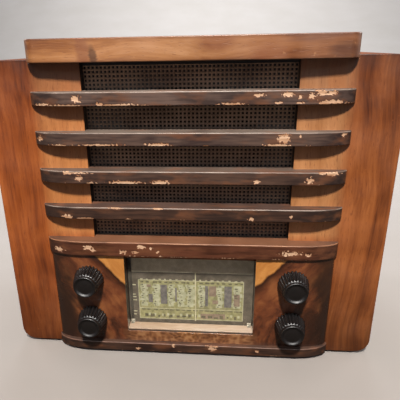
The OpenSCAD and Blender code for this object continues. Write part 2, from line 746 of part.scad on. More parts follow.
front_panel();
cabinet_top();
cabinet_bottom();
side_left();
side_right();
corner_mouldings();
cap_board();
back_battens();
louvre_1();
louvre_2();
louvre_3();
louvre_4();
waist_bar();
base_rail();
knob_panel();
dial_sill();
dial_clips();
dial_glass();
dial_scale();
dial_frame();
dial_lamps();
pointer_rail();
dial_pointer();
dial_cord();
pulley_left();
pulley_right();
drive_drum();
tuning_knob();
tuning_spindle();
tone_knob();
tone_spindle();
volume_knob();
volume_spindle();
waveband_knob();
waveband_spindle();
potentiometers();
waveband_switch();
spindle_bushes();
capacitor_frame();
capacitor_stator();
capacitor_rotor();
chassis();
valve_bases();
valve_bulbs();
if_transformers();
smoothing_capacitors();
mains_transformer();
terminal_panel();
mains_grommet();
cloth_frame();
speaker_baffle();
grille_cloth();
speaker_basket();
speaker_magnet();
cone_surround();
speaker_cone();
output_transformer();
back_cover();
back_screws();
feet();
chassis_bolts();
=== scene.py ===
import math
import random

import bmesh
import bpy
from mathutils import Matrix, Vector, noise


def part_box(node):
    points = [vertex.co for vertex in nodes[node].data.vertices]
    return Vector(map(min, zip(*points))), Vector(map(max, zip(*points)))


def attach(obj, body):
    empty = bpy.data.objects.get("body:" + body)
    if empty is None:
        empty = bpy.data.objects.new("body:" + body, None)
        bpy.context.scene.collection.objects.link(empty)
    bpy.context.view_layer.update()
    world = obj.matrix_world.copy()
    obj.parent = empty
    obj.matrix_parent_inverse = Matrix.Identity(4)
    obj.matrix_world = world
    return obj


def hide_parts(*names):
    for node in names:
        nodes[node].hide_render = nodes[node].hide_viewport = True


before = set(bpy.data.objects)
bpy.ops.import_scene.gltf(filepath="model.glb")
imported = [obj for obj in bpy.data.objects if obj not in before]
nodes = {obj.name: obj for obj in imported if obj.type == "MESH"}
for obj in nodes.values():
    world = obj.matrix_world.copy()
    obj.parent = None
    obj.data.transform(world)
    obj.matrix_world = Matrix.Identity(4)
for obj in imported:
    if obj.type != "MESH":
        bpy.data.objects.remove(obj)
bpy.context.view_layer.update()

# A wooden table radio of the late 1930s. Sizes are in millimetres in the maker's frame: x across
# from the centre, y back from the face of the front panel, z up from that panel's lower edge.
MM = 0.001
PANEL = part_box("front_panel")
ORIGIN = Vector((0, PANEL[0].y, PANEL[0].z))


def at(x, y, z):
    """A place in the maker's frame, in metres in the object's own frame."""
    return ORIGIN + Vector((x, y, z)) * MM


def corners(node):
    """The lowest and highest corner of a node, counted from the maker's origin, in metres."""
    return [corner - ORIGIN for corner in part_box(node)]


# ---------------------------------------------------------------------------------------------
# Camera. It stands level with the cap board, half a metre off and a little to the right of the
# middle, and looks down with a slight roll.
# ---------------------------------------------------------------------------------------------
CAMERA_PLACE = at(32, -496, 393.7)
CAMERA_TURN = math.radians(5.36)
CAMERA_DIP = math.radians(19.74)
CAMERA_ROLL = math.radians(-1.12)
LENS = 38.6
SENSOR = 36.0
SENSOR_SHIFT = 0.057

camera_data = bpy.data.cameras.new("camera")
camera_data.lens = LENS
camera_data.sensor_width = SENSOR
camera_data.shift_x = SENSOR_SHIFT
camera_data.clip_start = 0.02
camera = bpy.data.objects.new("camera", camera_data)
level_ahead = Vector((-math.sin(CAMERA_TURN), math.cos(CAMERA_TURN), 0))
level_right = Vector((math.cos(CAMERA_TURN), math.sin(CAMERA_TURN), 0))
ahead = level_ahead * math.cos(CAMERA_DIP) - Vector((0, 0, 1)) * math.sin(CAMERA_DIP)
above = Vector((0, 0, 1)) * math.cos(CAMERA_DIP) + level_ahead * math.sin(CAMERA_DIP)
right = level_right * math.cos(CAMERA_ROLL) + above * math.sin(CAMERA_ROLL)
up = above * math.cos(CAMERA_ROLL) - level_right * math.sin(CAMERA_ROLL)
camera.matrix_world = Matrix.Translation(CAMERA_PLACE) @ Matrix((right, up, -ahead)).transposed().to_4x4()
bpy.context.scene.collection.objects.link(camera)
bpy.context.scene.camera = camera


# ---------------------------------------------------------------------------------------------
# Studio. A pale seamless sweep, and one small high lamp ahead that draws the bars' crisp shadows.
# A broad panel overhead gives only reflections. One lamp lights the backdrop, two stand at the
# sides, and weak light comes from all round.
# ---------------------------------------------------------------------------------------------
def linear(hex_colour):
    """An sRGB hex colour as linear red, green, blue and full alpha."""
    channels = [int(hex_colour[i : i + 2], 16) / 255 for i in (1, 3, 5)]
    return [c / 12.92 if c <= 0.04045 else ((c + 0.055) / 1.055) ** 2.4 for c in channels] + [1.0]


def add(tree, kind, inputs=None, out=0, stops=None, **settings):
    """Adds a node with its settings and links, and gives the output asked for."""
    node = tree.nodes.new(kind)
    for name, value in settings.items():
        setattr(node, name, value)
    for key, value in (inputs or {}).items():
        if isinstance(value, bpy.types.NodeSocket):
            tree.links.new(value, node.inputs[key])
        else:
            node.inputs[key].default_value = value
    if stops:
        ramp = node.color_ramp.elements
        while len(ramp) < len(stops):
            ramp.new(1.0)
        for element, (place, colour) in zip(ramp, stops):
            element.position = place
            element.color = linear(colour) if isinstance(colour, str) else [colour] * 3 + [1.0]
    return node.outputs[out] if node.outputs else None


def new_material(name):
    """An empty material and its node tree."""
    material = bpy.data.materials.new(name)
    material.use_nodes = True
    material.node_tree.nodes.clear()
    return material, material.node_tree


def show(tree, shader):
    """Sends a shader to the material's surface."""
    add(tree, "ShaderNodeOutputMaterial", {"Surface": shader})


def new_object(name, data):
    """An object at the origin that holds finished mesh data."""
    made = bpy.data.objects.new(name, data)
    bpy.context.scene.collection.objects.link(made)
    return made


SWEEP_WIDTH = 12.0
SWEEP_FRONT = -5.0
SWEEP_BACK = 2.2
SWEEP_RADIUS = 1.2
SWEEP_HEIGHT = 5.0
SWEEP_STEPS = 16

sweep_line = [(SWEEP_FRONT, 0.0), (SWEEP_BACK, 0.0)]
for step in range(1, SWEEP_STEPS + 1):
    turn = math.radians(90 * step / SWEEP_STEPS)
    sweep_line.append((SWEEP_BACK + SWEEP_RADIUS * math.sin(turn), SWEEP_RADIUS * (1 - math.cos(turn))))
sweep_line.append((SWEEP_BACK + SWEEP_RADIUS, SWEEP_HEIGHT))
sweep_verts = [(side * SWEEP_WIDTH / 2, y, z) for y, z in sweep_line for side in (-1, 1)]
sweep_faces = [(2 * i, 2 * i + 1, 2 * i + 3, 2 * i + 2) for i in range(len(sweep_line) - 1)]
sweep_data = bpy.data.meshes.new("sweep")
sweep_data.from_pydata(sweep_verts, [], sweep_faces)
sweep_data.shade_smooth()
sweep = new_object("sweep", sweep_data)
sweep_paper, tree = new_material("matt paper backdrop")
fibre = add(tree, "ShaderNodeTexNoise", {"Scale": 60.0, "Detail": 3.0}, out="Fac")
tint = add(tree, "ShaderNodeValToRGB", {"Fac": fibre}, stops=[(0.3, "#9c9590"), (0.7, "#a09995")])
pale = add(tree, "ShaderNodeBsdfPrincipled", {"Base Color": tint, "Roughness": 0.9})
# The camera sees pale paper. For all other light the sheet is a dark card, so that it throws
# little light back at the set.
card = add(tree, "ShaderNodeBsdfDiffuse", {"Color": linear("#544d47")})
seen = add(tree, "ShaderNodeLightPath", out="Is Camera Ray")
show(tree, add(tree, "ShaderNodeMixShader", {0: seen, 1: card, 2: pale}))
sweep_data.materials.append(sweep_paper)

KEY_DISTANCE = 1.9
KEY_HEIGHT_ANGLE = math.radians(54.8)
KEY_AIM = at(0, 0, 230)


def area_lamp(name, place, aim, size, watts, colour):
    """A flat lamp of a given width and length at a place, turned to face its aim."""
    lamp_data = bpy.data.lights.new(name, "AREA")
    lamp_data.shape = "RECTANGLE"
    lamp_data.size, lamp_data.size_y = size
    lamp_data.energy = watts
    lamp_data.color = colour
    lamp = new_object(name, lamp_data)
    turned = (aim - place).to_track_quat("-Z", "Y").to_matrix().to_4x4()
    lamp.matrix_world = Matrix.Translation(place) @ turned
    return lamp


key_place = KEY_AIM + Vector((0.02, -math.cos(KEY_HEIGHT_ANGLE), math.sin(KEY_HEIGHT_ANGLE))) * KEY_DISTANCE
area_lamp("key_lamp", key_place, KEY_AIM, (0.16, 0.16), 62.0, (1.0, 0.95, 0.88))
gloss_panel = area_lamp("gloss_panel", Vector((0, -1.5, 1.7)), KEY_AIM, (3.6, 0.9), 55.0,
                        (1.0, 0.98, 0.96))
gloss_panel.visible_diffuse = False
area_lamp("backdrop_lamp", Vector((0, 1.3, 2.4)), Vector((0, 3.3, 0.6)), (1.5, 1.5), 168.0, (0.92, 0.97, 1.0))
for side in (-1, 1):
    area_lamp(f"side_lamp_{side}", Vector((side * 2.2, 1.0, 1.2)), Vector((0, 0.1, 0.2)), (1.0, 1.0), 22.0,
              (1.0, 0.98, 0.95))
world = bpy.data.worlds.new("studio")
world.use_nodes = True
world.node_tree.nodes["Background"].inputs["Color"].default_value = (0.86, 0.92, 1.12, 1.0)
world.node_tree.nodes["Background"].inputs["Strength"].default_value = 0.12
bpy.context.scene.world = world
bpy.context.scene.view_settings.view_transform = "Standard"


# ---------------------------------------------------------------------------------------------
# Cabinet boards. Birch plywood faced with straight-grained walnut veneer under a satin varnish
# that has yellowed and worn. The boards are glued to quarter-round mouldings along the corners.
# ---------------------------------------------------------------------------------------------
BOARD_EDGE = 0.8
CAP_HALF = 183.0
GRILLE_HALF = 123.0
LOUVRED_BOTTOM = 160.0


def place_in_mm(tree):
    """The surface's place in the maker's frame, in millimetres, as a vector output."""
    raw = add(tree, "ShaderNodeTexCoord", out="Object")
    return add(tree, "ShaderNodeMapping", {
        "Vector": raw, "Scale": (1000,) * 3, "Location": tuple(-1000 * c for c in ORIGIN)})


def veneer(name, deep, middle, light, along, louvred=None, grime_and_shade=(), stains=()):
    """Veneer under satin varnish: bands and fibres drawn out along the grain, pores, worn gloss.

    along is the grain's axis. louvred holds the two colours of the lighter wood between the bars.
    The list of tints over the wood, real grime and painted shade, gives each an axis, its two ends and the
    tint's stops along it.
    stains lists soft dark marks, each a centre, its radii, a colour and its strength.
    Real pores are a fifth of a millimetre wide, too fine to show, so they are drawn 1.1 mm wide."""
    material, tree = new_material(name)
    place = place_in_mm(tree)
    axes = tree.nodes.new("ShaderNodeSeparateXYZ")
    tree.links.new(place, axes.inputs[0])
    sway = add(tree, "ShaderNodeTexNoise", {"Vector": place, "Scale": 1 / 140, "Detail": 1.0}, out="Color")
    sway = add(tree, "ShaderNodeVectorMath", {0: sway, 1: (0.5, 0.5, 0.5)}, operation="SUBTRACT")
    sway = add(tree, "ShaderNodeVectorMath", {0: sway, "Scale": 26.0}, operation="SCALE")
    swayed = add(tree, "ShaderNodeVectorMath", {0: place, 1: sway}, operation="ADD")
    stretch = [1.0, 1.0, 1.0]
    stretch["XYZ".index(along)] = 0.045
    grain = add(tree, "ShaderNodeMapping", {"Vector": swayed, "Scale": tuple(stretch)})
    bands = add(tree, "ShaderNodeTexNoise", {"Vector": grain, "Scale": 1 / 16, "Detail": 4.0,
                                             "Roughness": 0.62}, out="Fac")
    fibres = add(tree, "ShaderNodeTexNoise", {"Vector": grain, "Scale": 1 / 2.2, "Detail": 5.0}, out="Fac")
    clouds = add(tree, "ShaderNodeTexNoise", {"Vector": place, "Scale": 1 / 70, "Detail": 3.0}, out="Fac")
    tone = add(tree, "ShaderNodeMath", {0: bands, 1: 0.60}, operation="MULTIPLY")
    tone = add(tree, "ShaderNodeMath", {0: fibres, 1: 0.26, 2: tone}, operation="MULTIPLY_ADD")
    tone = add(tree, "ShaderNodeMath", {0: clouds, 1: 0.38, 2: tone}, operation="MULTIPLY_ADD")
    colour = add(tree, "ShaderNodeValToRGB", {"Fac": tone},
                 stops=[(0.46, deep), (0.61, middle), (0.76, light)])
    if louvred:
        across = add(tree, "ShaderNodeMath", {0: axes.outputs["X"]}, operation="ABSOLUTE")
        inside = add(tree, "ShaderNodeMapRange", {"Value": across, "From Min": CAP_HALF + 3,
                     "From Max": CAP_HALF - 12, "To Min": 0.0, "To Max": 0.75})
        higher = add(tree, "ShaderNodeMapRange", {"Value": axes.outputs["Z"],
                     "From Min": LOUVRED_BOTTOM, "From Max": LOUVRED_BOTTOM + 12})
        inside = add(tree, "ShaderNodeMath", {0: inside, 1: higher}, operation="MULTIPLY")
        fresh = add(tree, "ShaderNodeValToRGB", {"Fac": tone},
                    stops=[(0.40, louvred[0]), (0.80, louvred[1])])
        colour = add(tree, "ShaderNodeMix", {0: inside, 6: colour, 7: fresh}, out=2, data_type="RGBA")
        # The grille opening's cut edges are darkened: a black stain, and painted shade of the recess behind
        # them.
        behind = add(tree, "ShaderNodeMapRange", {"Value": axes.outputs["Y"], "From Min": 0.4,
                                                  "From Max": 1.0})
        cut_stain_and_shade = add(tree, "ShaderNodeMapRange", {"Value": across, "From Min": GRILLE_HALF + 3,
                                               "From Max": GRILLE_HALF + 2})
        cut_stain_and_shade = add(tree, "ShaderNodeMath", {0: behind, 1: cut_stain_and_shade}, operation="MULTIPLY")
        colour = add(tree, "ShaderNodeMix", {0: cut_stain_and_shade, 6: colour, 7: linear("#120e0c")}, out=2,
                     data_type="RGBA")
    for axis, low, high, stops in grime_and_shade:
        share = add(tree, "ShaderNodeMapRange", {"Value": axes.outputs[axis], "From Min": low,
                                                 "From Max": high})
        tint = add(tree, "ShaderNodeValToRGB", {"Fac": share}, stops=stops)
        colour = add(tree, "ShaderNodeMix", {0: 1.0, 6: colour, 7: tint}, out=2, data_type="RGBA",
                     blend_type="MULTIPLY")
    for centre, radii, stain_colour, strength in stains:
        mark = add(tree, "ShaderNodeVectorMath", {0: swayed, 1: centre}, operation="SUBTRACT")
        mark = add(tree, "ShaderNodeVectorMath", {0: mark, 1: radii}, operation="DIVIDE")
        mark = add(tree, "ShaderNodeVectorMath", {0: mark}, out="Value", operation="LENGTH")
        mark = add(tree, "ShaderNodeMath", {0: fibres, 1: -0.9, 2: mark}, operation="MULTIPLY_ADD")
        mark = add(tree, "ShaderNodeMapRange", {"Value": mark, "From Min": 0.55, "From Max": 0.1,
                                                "To Max": strength})
        colour = add(tree, "ShaderNodeMix", {0: mark, 6: colour, 7: linear(stain_colour)}, out=2,
                     data_type="RGBA")
    bloom = add(tree, "ShaderNodeTexNoise", {"Vector": grain, "Scale": 1 / 9, "Detail": 6.0}, out="Fac")
    bloom = add(tree, "ShaderNodeMath", {0: bloom, 1: clouds}, operation="MULTIPLY")
    bloom = add(tree, "ShaderNodeMapRange", {"Value": bloom, "From Min": 0.25, "From Max": 0.36,
                                             "To Max": 0.2})
    specks = add(tree, "ShaderNodeTexNoise", {"Vector": place, "Scale": 1 / 4.5, "Detail": 3.0}, out="Fac")
    specks = add(tree, "ShaderNodeMapRange", {"Value": specks, "From Min": 0.68, "From Max": 0.74,
                                              "To Max": 0.4})
    pore_scale = [1.0, 1.0, 1.0]
    pore_scale["XYZ".index(along)] = 0.12
    pores = add(tree, "ShaderNodeMapping", {"Vector": swayed, "Scale": tuple(pore_scale)})
    pores = add(tree, "ShaderNodeTexNoise", {"Vector": pores, "Scale": 1 / 1.1, "Detail": 2.0}, out="Fac")
    pores = add(tree, "ShaderNodeMapRange", {"Value": pores, "From Min": 0.60, "From Max": 0.70})
    dark = add(tree, "ShaderNodeMath", {0: pores, 1: 0.45}, operation="MULTIPLY")
    for share, over in ((bloom, light), (specks, light), (dark, deep)):
        colour = add(tree, "ShaderNodeMix", {0: share, 6: colour, 7: linear(over)}, out=2, data_type="RGBA")
    scuffs = add(tree, "ShaderNodeTexNoise", {"Vector": place, "Scale": 1 / 34, "Detail": 6.0}, out="Fac")
    rough = add(tree, "ShaderNodeMapRange", {"Value": scuffs, "From Min": 0.35, "From Max": 0.7,
                                             "To Min": 0.34, "To Max": 0.56})
    relief = add(tree, "ShaderNodeMath", {0: fibres, 1: pores}, operation="SUBTRACT")
    bump = add(tree, "ShaderNodeBump", {"Height": relief, "Strength": 0.5, "Distance": 0.00012})
    show(tree, add(tree, "ShaderNodeBsdfPrincipled", {
        "Base Color": colour, "Roughness": rough, "Normal": bump, "IOR": 1.5,
        "Coat Weight": 0.22, "Coat Roughness": 0.25}))
    return material


def eased_copy(node, name, radius, material):
    """A copy of a CAD board with its sharp edges eased, standing in for that board."""
    data = nodes[node].data.copy()
    shape = bmesh.new()
    shape.from_mesh(data)
    bmesh.ops.remove_doubles(shape, verts=shape.verts, dist=0.00001)
    bmesh.ops.dissolve_limit(shape, angle_limit=math.radians(1), verts=shape.verts, edges=shape.edges)
    shape.to_mesh(data)
    shape.free()
    data.materials.clear()
    data.materials.append(material)
    data.shade_smooth()
    piece = new_object(name, data)
    bevel = piece.modifiers.new("eased edges", "BEVEL")
    bevel.width = radius * MM
    bevel.segments = 3
    bevel.limit_method = "ANGLE"
    bevel.angle_limit = math.radians(35)
    piece.modifiers.new("flat faces", "WEIGHTED_NORMAL").keep_sharp = True
    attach(piece, "cabinet")
    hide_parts(node)


# The wings and sides: red-brown at the edges, lighter between the bars, and darker towards the foot
# and under the cap, a painted shade of the light falling off there.
walnut_upright = veneer(
    "varnished walnut veneer, upright grain", "#622e14", "#985125", "#b86a36", "Z",
    louvred=("#b77642", "#e4a66f"),
    # Along z the wood darkens towards the foot and under the cap: painted shade.
    grime_and_shade=[("Z", 0.0, 382.0, [(0.0, "#aaaaae"), (0.10, "#c0c0c4"), (0.25, "#ececec"), (0.37, "#f8f8f8"),
                              (0.65, "#f2f2f2"), (0.80, "#eaeaee"), (0.90, "#d4d2d8"), (0.975, "#bcb9c2"),
                              (0.993, "#aeabb6"), (1.0, "#857f86")]),
           ("X", -240.0, 240.0, [(0.0, "#fbead0"), (0.35, "#fdf4e4"), (0.65, "#f8f8f4"), (1.0, "#eef3f6")])])
walnut_across = veneer("varnished walnut veneer, grain across", "#57260f", "#84411f", "#a35c2d", "X")
walnut_lengthwise = veneer("varnished walnut, grain front to back", "#512410", "#7c3c1e", "#96522a", "Y")
eased_copy("front_panel", "wings", BOARD_EDGE, walnut_upright)
eased_copy("side_left", "left_side", 0.3, walnut_upright)
eased_copy("side_right", "right_side", 0.3, walnut_upright)
eased_copy("cabinet_top", "top_board", 0.3, walnut_across)
eased_copy("corner_mouldings", "quarter_round_corners", 0.3, walnut_lengthwise)

# The bottom board is bare plywood: pale, dry, with a coarse flat grain and dirt rubbed into it.
bare_plywood = veneer("bare birch plywood", "#7d5c3c", "#a98558", "#bf9c6c", "X")
eased_copy("cabinet_bottom", "bottom_board", 0.5, bare_plywood)


# ---------------------------------------------------------------------------------------------
# Cap board. A thick pale walnut board, let into the cabinet top and glued, its front corners
# rounded. Its golden veneer bears dark marks and is darker and greyer towards its right end.
# ---------------------------------------------------------------------------------------------
cap_walnut = veneer(
    "varnished golden walnut, grain across", "#7d4a2a", "#a87145", "#bd885f", "X",
    grime_and_shade=[("X", -184.0, 184.0, [(0.0, "#fffffb"), (0.2, "#fffdf8"), (0.5, "#f3f4f2"), (0.72, "#d8cecf"),
                                 (0.86, "#cabfc4"), (1.0, "#c2b7be")]),
           # Along z the board darkens to its upper edge and to its lower edge, where this is painted shade of
           # the gap above the wing.
           ("Z", 378.5, 404.0, [(0.0, "#8d8078"), (0.09, "#e6ded8"), (0.2, "#ffffff"), (0.8, "#ffffff"),
                                (0.94, "#d8ccc4"), (1.0, "#a89c94")])],
    stains=[((-114, -15, 394), (9, 26, 26), "#7a452e", 0.6),
            ((-104, -15, 385), (5, 22, 14), "#452a1e", 0.8),
            # This mark at the right end's lower corner is a dark blotch, deepened as painted shade of the
            # rounded corner.
            ((172, -15, 383), (24, 20, 12), "#4a2c22", 0.6),
            ((140, -15, 403), (48, 24, 12), "#5f3a2b", 0.55),
            ((92, -15, 384), (26, 20, 12), "#7a4228", 0.5),
            ((34, -15, 400), (24, 18, 10), "#7d452a", 0.5)])
eased_copy("cap_board", "cap", 1.2, cap_walnut)


# ---------------------------------------------------------------------------------------------
# Louvres, waist bar and base rail. Softwood bars with rounded ends, glued across the front and
# sprayed with dark cellulose lacquer that has chipped off down to the pale wood.
# ---------------------------------------------------------------------------------------------
BAR_HALF = 184.0
BAR_END = 50.0
BAR_EDGE = 1.0
EDGE_STEPS = 4
BAR_STEP = 0.8
PANEL_DEPTH = 7.9
CHIP_DEPTH = 0.35
BAR_END_SHADE_FROM = 140.0


def bar_stations(half, end, reach):
    """Places round a bar's front in plan, left to right, each with its outward direction."""
    stations = []
    # The curved end is a little longer than the length that it takes up.
    end_steps = round(1.15 * end / BAR_STEP)
    for i in range(end_steps):
        turn = math.pi / 2 * (1 - i / end_steps)
        place = Vector((end * math.sin(turn), -reach * math.cos(turn)))
        out = Vector((place.x / end**2, place.y / reach**2)).normalized()
        stations.append((Vector((half - end + place.x, place.y)), out))
    straight = round((half - end) / BAR_STEP)
    for i in range(straight + 1):
        stations.append((Vector(((half - end) * (1 - i / straight), -reach)), Vector((0, -1))))
    mirrored = [(Vector((-p.x, p.y)), Vector((-n.x, n.y))) for p, n in stations]
    return mirrored + stations[-2::-1]


def chip_amount(x, height, chips, ragged):
    """How far the lacquer is gone at a place on a bar's face, from 0 to 1."""
    wobble = noise.noise(Vector((x * 0.42, height * 0.5, ragged)))
    wobble += 0.6 * noise.noise(Vector((x * 1.1, height * 1.2, ragged + 7)))
    nearest = 9.0
    for chip_x, chip_height, length, tall in chips:
        distance = math.hypot((x - chip_x) / (length / 2), (height - chip_height) / (tall / 2))
        nearest = min(nearest, distance)
    amount = 1.25 - nearest + 1.1 * wobble
    worn = noise.noise(Vector((x * 0.07, 3.0, ragged))) + 0.7 * noise.noise(Vector((x * 0.5, 1.0, ragged)))
    amount = max(amount, worn * 3.2 - 0.55 - height * 0.9)
    return min(1.0, max(0.0, amount * 2.5))


def face_outwards(data):
    """Turns all the faces of a closed mesh outwards."""
    shape = bmesh.new()
    shape.from_mesh(data)
    bmesh.ops.recalc_face_normals(shape, faces=shape.faces)
    shape.to_mesh(data)
    shape.free()


def bar_mesh(name, top, thickness, reach, chips, has_tongue, ragged):
    """A bar's closed mesh, with the attribute chip and one that marks the worn upper edge for its painted
    highlight. Its tongue fills the grille opening.
    """
    stations = bar_stations(BAR_HALF, BAR_END, reach)
    profile = []
    for i in range(EDGE_STEPS + 1):
        turn = math.radians(90 - 90 * i / EDGE_STEPS)
        profile.append((BAR_EDGE * (1 - math.cos(turn)), top - BAR_EDGE * (1 - math.sin(turn))))
    rows = round((thickness - 2 * BAR_EDGE) / BAR_STEP)
    for i in range(1, rows):
        profile.append((0.0, top - BAR_EDGE - i * (thickness - 2 * BAR_EDGE) / rows))
    middle = 2 * top - thickness
    profile += [(inset, middle - z) for inset, z in profile[EDGE_STEPS::-1]]
    verts, chip_values, rub_and_highlight_values = [], [], []
    for place, out in stations:
        for row, (inset, z) in enumerate(profile):
            height = z - (top - thickness)
            chip = chip_amount(place.x, height, chips, ragged)
            if row in (0, len(profile) - 1):
                chip *= 0.4
            spot = place - out * (inset + CHIP_DEPTH * chip)
            verts.append(at(spot.x, min(spot.y, 0.0), z))
            chip_values.append(chip)
            # The rows along the upper front edge carry its wear and a painted highlight of the light it
            # catches.
            rub_and_highlight_values.append(1.0 if row in (2, 3) else 0.5 if row in (1, 4) else 0.0)
    rings, per = len(stations), len(profile)
    faces = [(i * per + j, (i + 1) * per + j, (i + 1) * per + j + 1, i * per + j + 1)
             for i in range(rings - 1) for j in range(per - 1)]
    top_ring = [i * per for i in range(rings)]
    bottom_ring = [i * per + per - 1 for i in range(rings)]
    back = [(GRILLE_HALF, 0.0), (GRILLE_HALF, PANEL_DEPTH), (-GRILLE_HALF, PANEL_DEPTH),
            (-GRILLE_HALF, 0.0)] if has_tongue else []
    upper = [len(verts) + i for i in range(len(back))]
    verts += [at(x, y, top) for x, y in back]
    lower = [len(verts) + i for i in range(len(back))]
    verts += [at(x, y, top - thickness) for x, y in back]
    chip_values += [0.0] * (2 * len(back))
    rub_and_highlight_values += [0.0] * (2 * len(back))
    top_loop = top_ring + upper
    bottom_loop = bottom_ring + lower
    faces.append(tuple(reversed(top_loop)))
    faces.append(tuple(bottom_loop))
    faces.append(tuple((rings - 1) * per + j for j in range(per)))
    faces.append(tuple(reversed(range(per))))
    for i in range(rings - 1, len(top_loop)):
        after = (i + 1) % len(top_loop)
        faces.append((top_loop[i], top_loop[after], bottom_loop[after], bottom_loop[i]))
    data = bpy.data.meshes.new(name)
    data.from_pydata(verts, [], faces)
    face_outwards(data)
    for title, values in (("chip", chip_values), ("rub_and_highlight", rub_and_highlight_values)):
        data.attributes.new(title, "FLOAT", "POINT").data.foreach_set("value", values)
    for face in data.polygons:
        face.use_smooth = len(face.vertices) == 4
    return data


def lacquer(name, face_dark, face_light, dusty, worn_edge_and_highlight, dust_share):
    """Chipped cellulose lacquer: streaked half-gloss colour, painted shade towards the bars' ends and brown
    where it is thin, worn upper edges lightened as a painted highlight, dust on what faces up, and pale wood
    in the chips."""
    material, tree = new_material(name)
    place = place_in_mm(tree)
    streaks = add(tree, "ShaderNodeMapping", {"Vector": place, "Scale": (0.08, 1.0, 1.0)})
    streaks = add(tree, "ShaderNodeTexNoise", {"Vector": streaks, "Scale": 1 / 3.0, "Detail": 4.0}, out="Fac")
    clouds = add(tree, "ShaderNodeTexNoise", {"Vector": place, "Scale": 1 / 45, "Detail": 4.0}, out="Fac")
    tone = add(tree, "ShaderNodeMath", {0: streaks, 1: clouds}, operation="ADD")
    tone = add(tree, "ShaderNodeMath", {0: tone, 1: 0.5}, operation="MULTIPLY")
    colour = add(tree, "ShaderNodeValToRGB", {"Fac": tone}, stops=[(0.42, face_dark), (0.59, face_light)])
    fine = add(tree, "ShaderNodeTexNoise", {"Vector": place, "Scale": 1 / 1.6, "Detail": 5.0}, out="Fac")
    normal = add(tree, "ShaderNodeNewGeometry", out="Normal")
    facing = tree.nodes.new("ShaderNodeSeparateXYZ")
    tree.links.new(normal, facing.inputs[0])
    dust = add(tree, "ShaderNodeMapRange", {"Value": facing.outputs["Z"], "From Min": 0.55,
                                            "From Max": 1.0, "To Max": dust_share})
    dust_clouds = add(tree, "ShaderNodeMapRange", {"Value": clouds, "From Min": 0.3, "From Max": 0.62,
                                                   "To Min": 0.45, "To Max": 1.0})
    dust = add(tree, "ShaderNodeMath", {0: dust, 1: dust_clouds}, operation="MULTIPLY")
    where = tree.nodes.new("ShaderNodeSeparateXYZ")
    tree.links.new(place, where.inputs[0])
    # The lacquer darkens towards the bars' curved ends: painted shade.
    bar_end_shade = add(tree, "ShaderNodeMath", {0: where.outputs["X"]}, operation="ABSOLUTE")
    bar_end_shade = add(tree, "ShaderNodeMapRange", {"Value": bar_end_shade, "From Min": BAR_END_SHADE_FROM,
                                             "From Max": BAR_HALF, "To Max": 0.65})
    thin = add(tree, "ShaderNodeMapping", {"Vector": place, "Scale": (0.4, 1.0, 1.0)})
    thin = add(tree, "ShaderNodeTexNoise", {"Vector": thin, "Scale": 1 / 11, "Detail": 5.0}, out="Fac")
    thin = add(tree, "ShaderNodeMapRange", {"Value": thin, "From Min": 0.50, "From Max": 0.68, "To Max": 0.6})
    # The upper edge is lightened: real wear and a painted highlight of the light it catches.
    rub_and_highlight = add(tree, "ShaderNodeAttribute", out="Fac", attribute_name="rub_and_highlight")
    rub_and_highlight_breaks = add(tree, "ShaderNodeMapping", {"Vector": place, "Scale": (0.35, 1.0, 1.0)})
    rub_and_highlight_breaks = add(tree, "ShaderNodeTexNoise", {"Vector": rub_and_highlight_breaks, "Scale": 1 / 9, "Detail": 5.0},
                     out="Fac")
    rub_and_highlight_breaks = add(tree, "ShaderNodeMapRange", {"Value": rub_and_highlight_breaks, "From Min": 0.38, "From Max": 0.60,
                                                  "To Min": 0.25, "To Max": 0.95})
    rub_and_highlight = add(tree, "ShaderNodeMath", {0: rub_and_highlight, 1: rub_and_highlight_breaks}, operation="MULTIPLY")
    chip = add(tree, "ShaderNodeAttribute", out="Fac", attribute_name="chip")
    chip = add(tree, "ShaderNodeMath", {0: fine, 1: 0.7, 2: chip}, operation="MULTIPLY_ADD")
    halo = add(tree, "ShaderNodeMapRange", {"Value": chip, "From Min": 0.46, "From Max": 0.72,
                                            "To Max": 0.85})
    for share, over in ((dust, dusty), (bar_end_shade, "#241a18"), (thin, "#7a4c31"), (rub_and_highlight, worn_edge_and_highlight),
                        (halo, "#6f3f24")):
        colour = add(tree, "ShaderNodeMix", {0: share, 6: colour, 7: linear(over)}, out=2, data_type="RGBA")
    bare = add(tree, "ShaderNodeMapRange", {"Value": chip, "From Min": 0.86, "From Max": 0.98})
    wood = add(tree, "ShaderNodeValToRGB", {"Fac": streaks}, stops=[(0.35, "#ab7852"), (0.65, "#dfb897")])
    colour = add(tree, "ShaderNodeMix", {0: bare, 6: colour, 7: wood}, out=2, data_type="RGBA")
    rough = add(tree, "ShaderNodeMapRange", {"Value": fine, "To Min": 0.30, "To Max": 0.52})
    rough = add(tree, "ShaderNodeMath", {0: bare, 1: 0.35, 2: rough}, operation="MULTIPLY_ADD")
    rough = add(tree, "ShaderNodeMath", {0: dust, 1: 0.3, 2: rough}, operation="MULTIPLY_ADD")
    relief = add(tree, "ShaderNodeMath", {0: bare, 1: -1.0, 2: fine}, operation="MULTIPLY_ADD")
    bump = add(tree, "ShaderNodeBump", {"Height": relief, "Strength": 0.35, "Distance": 0.0002})
    show(tree, add(tree, "ShaderNodeBsdfPrincipled", {
        "Base Color": colour, "Roughness": rough, "Normal": bump, "IOR": 1.5}))
    return material


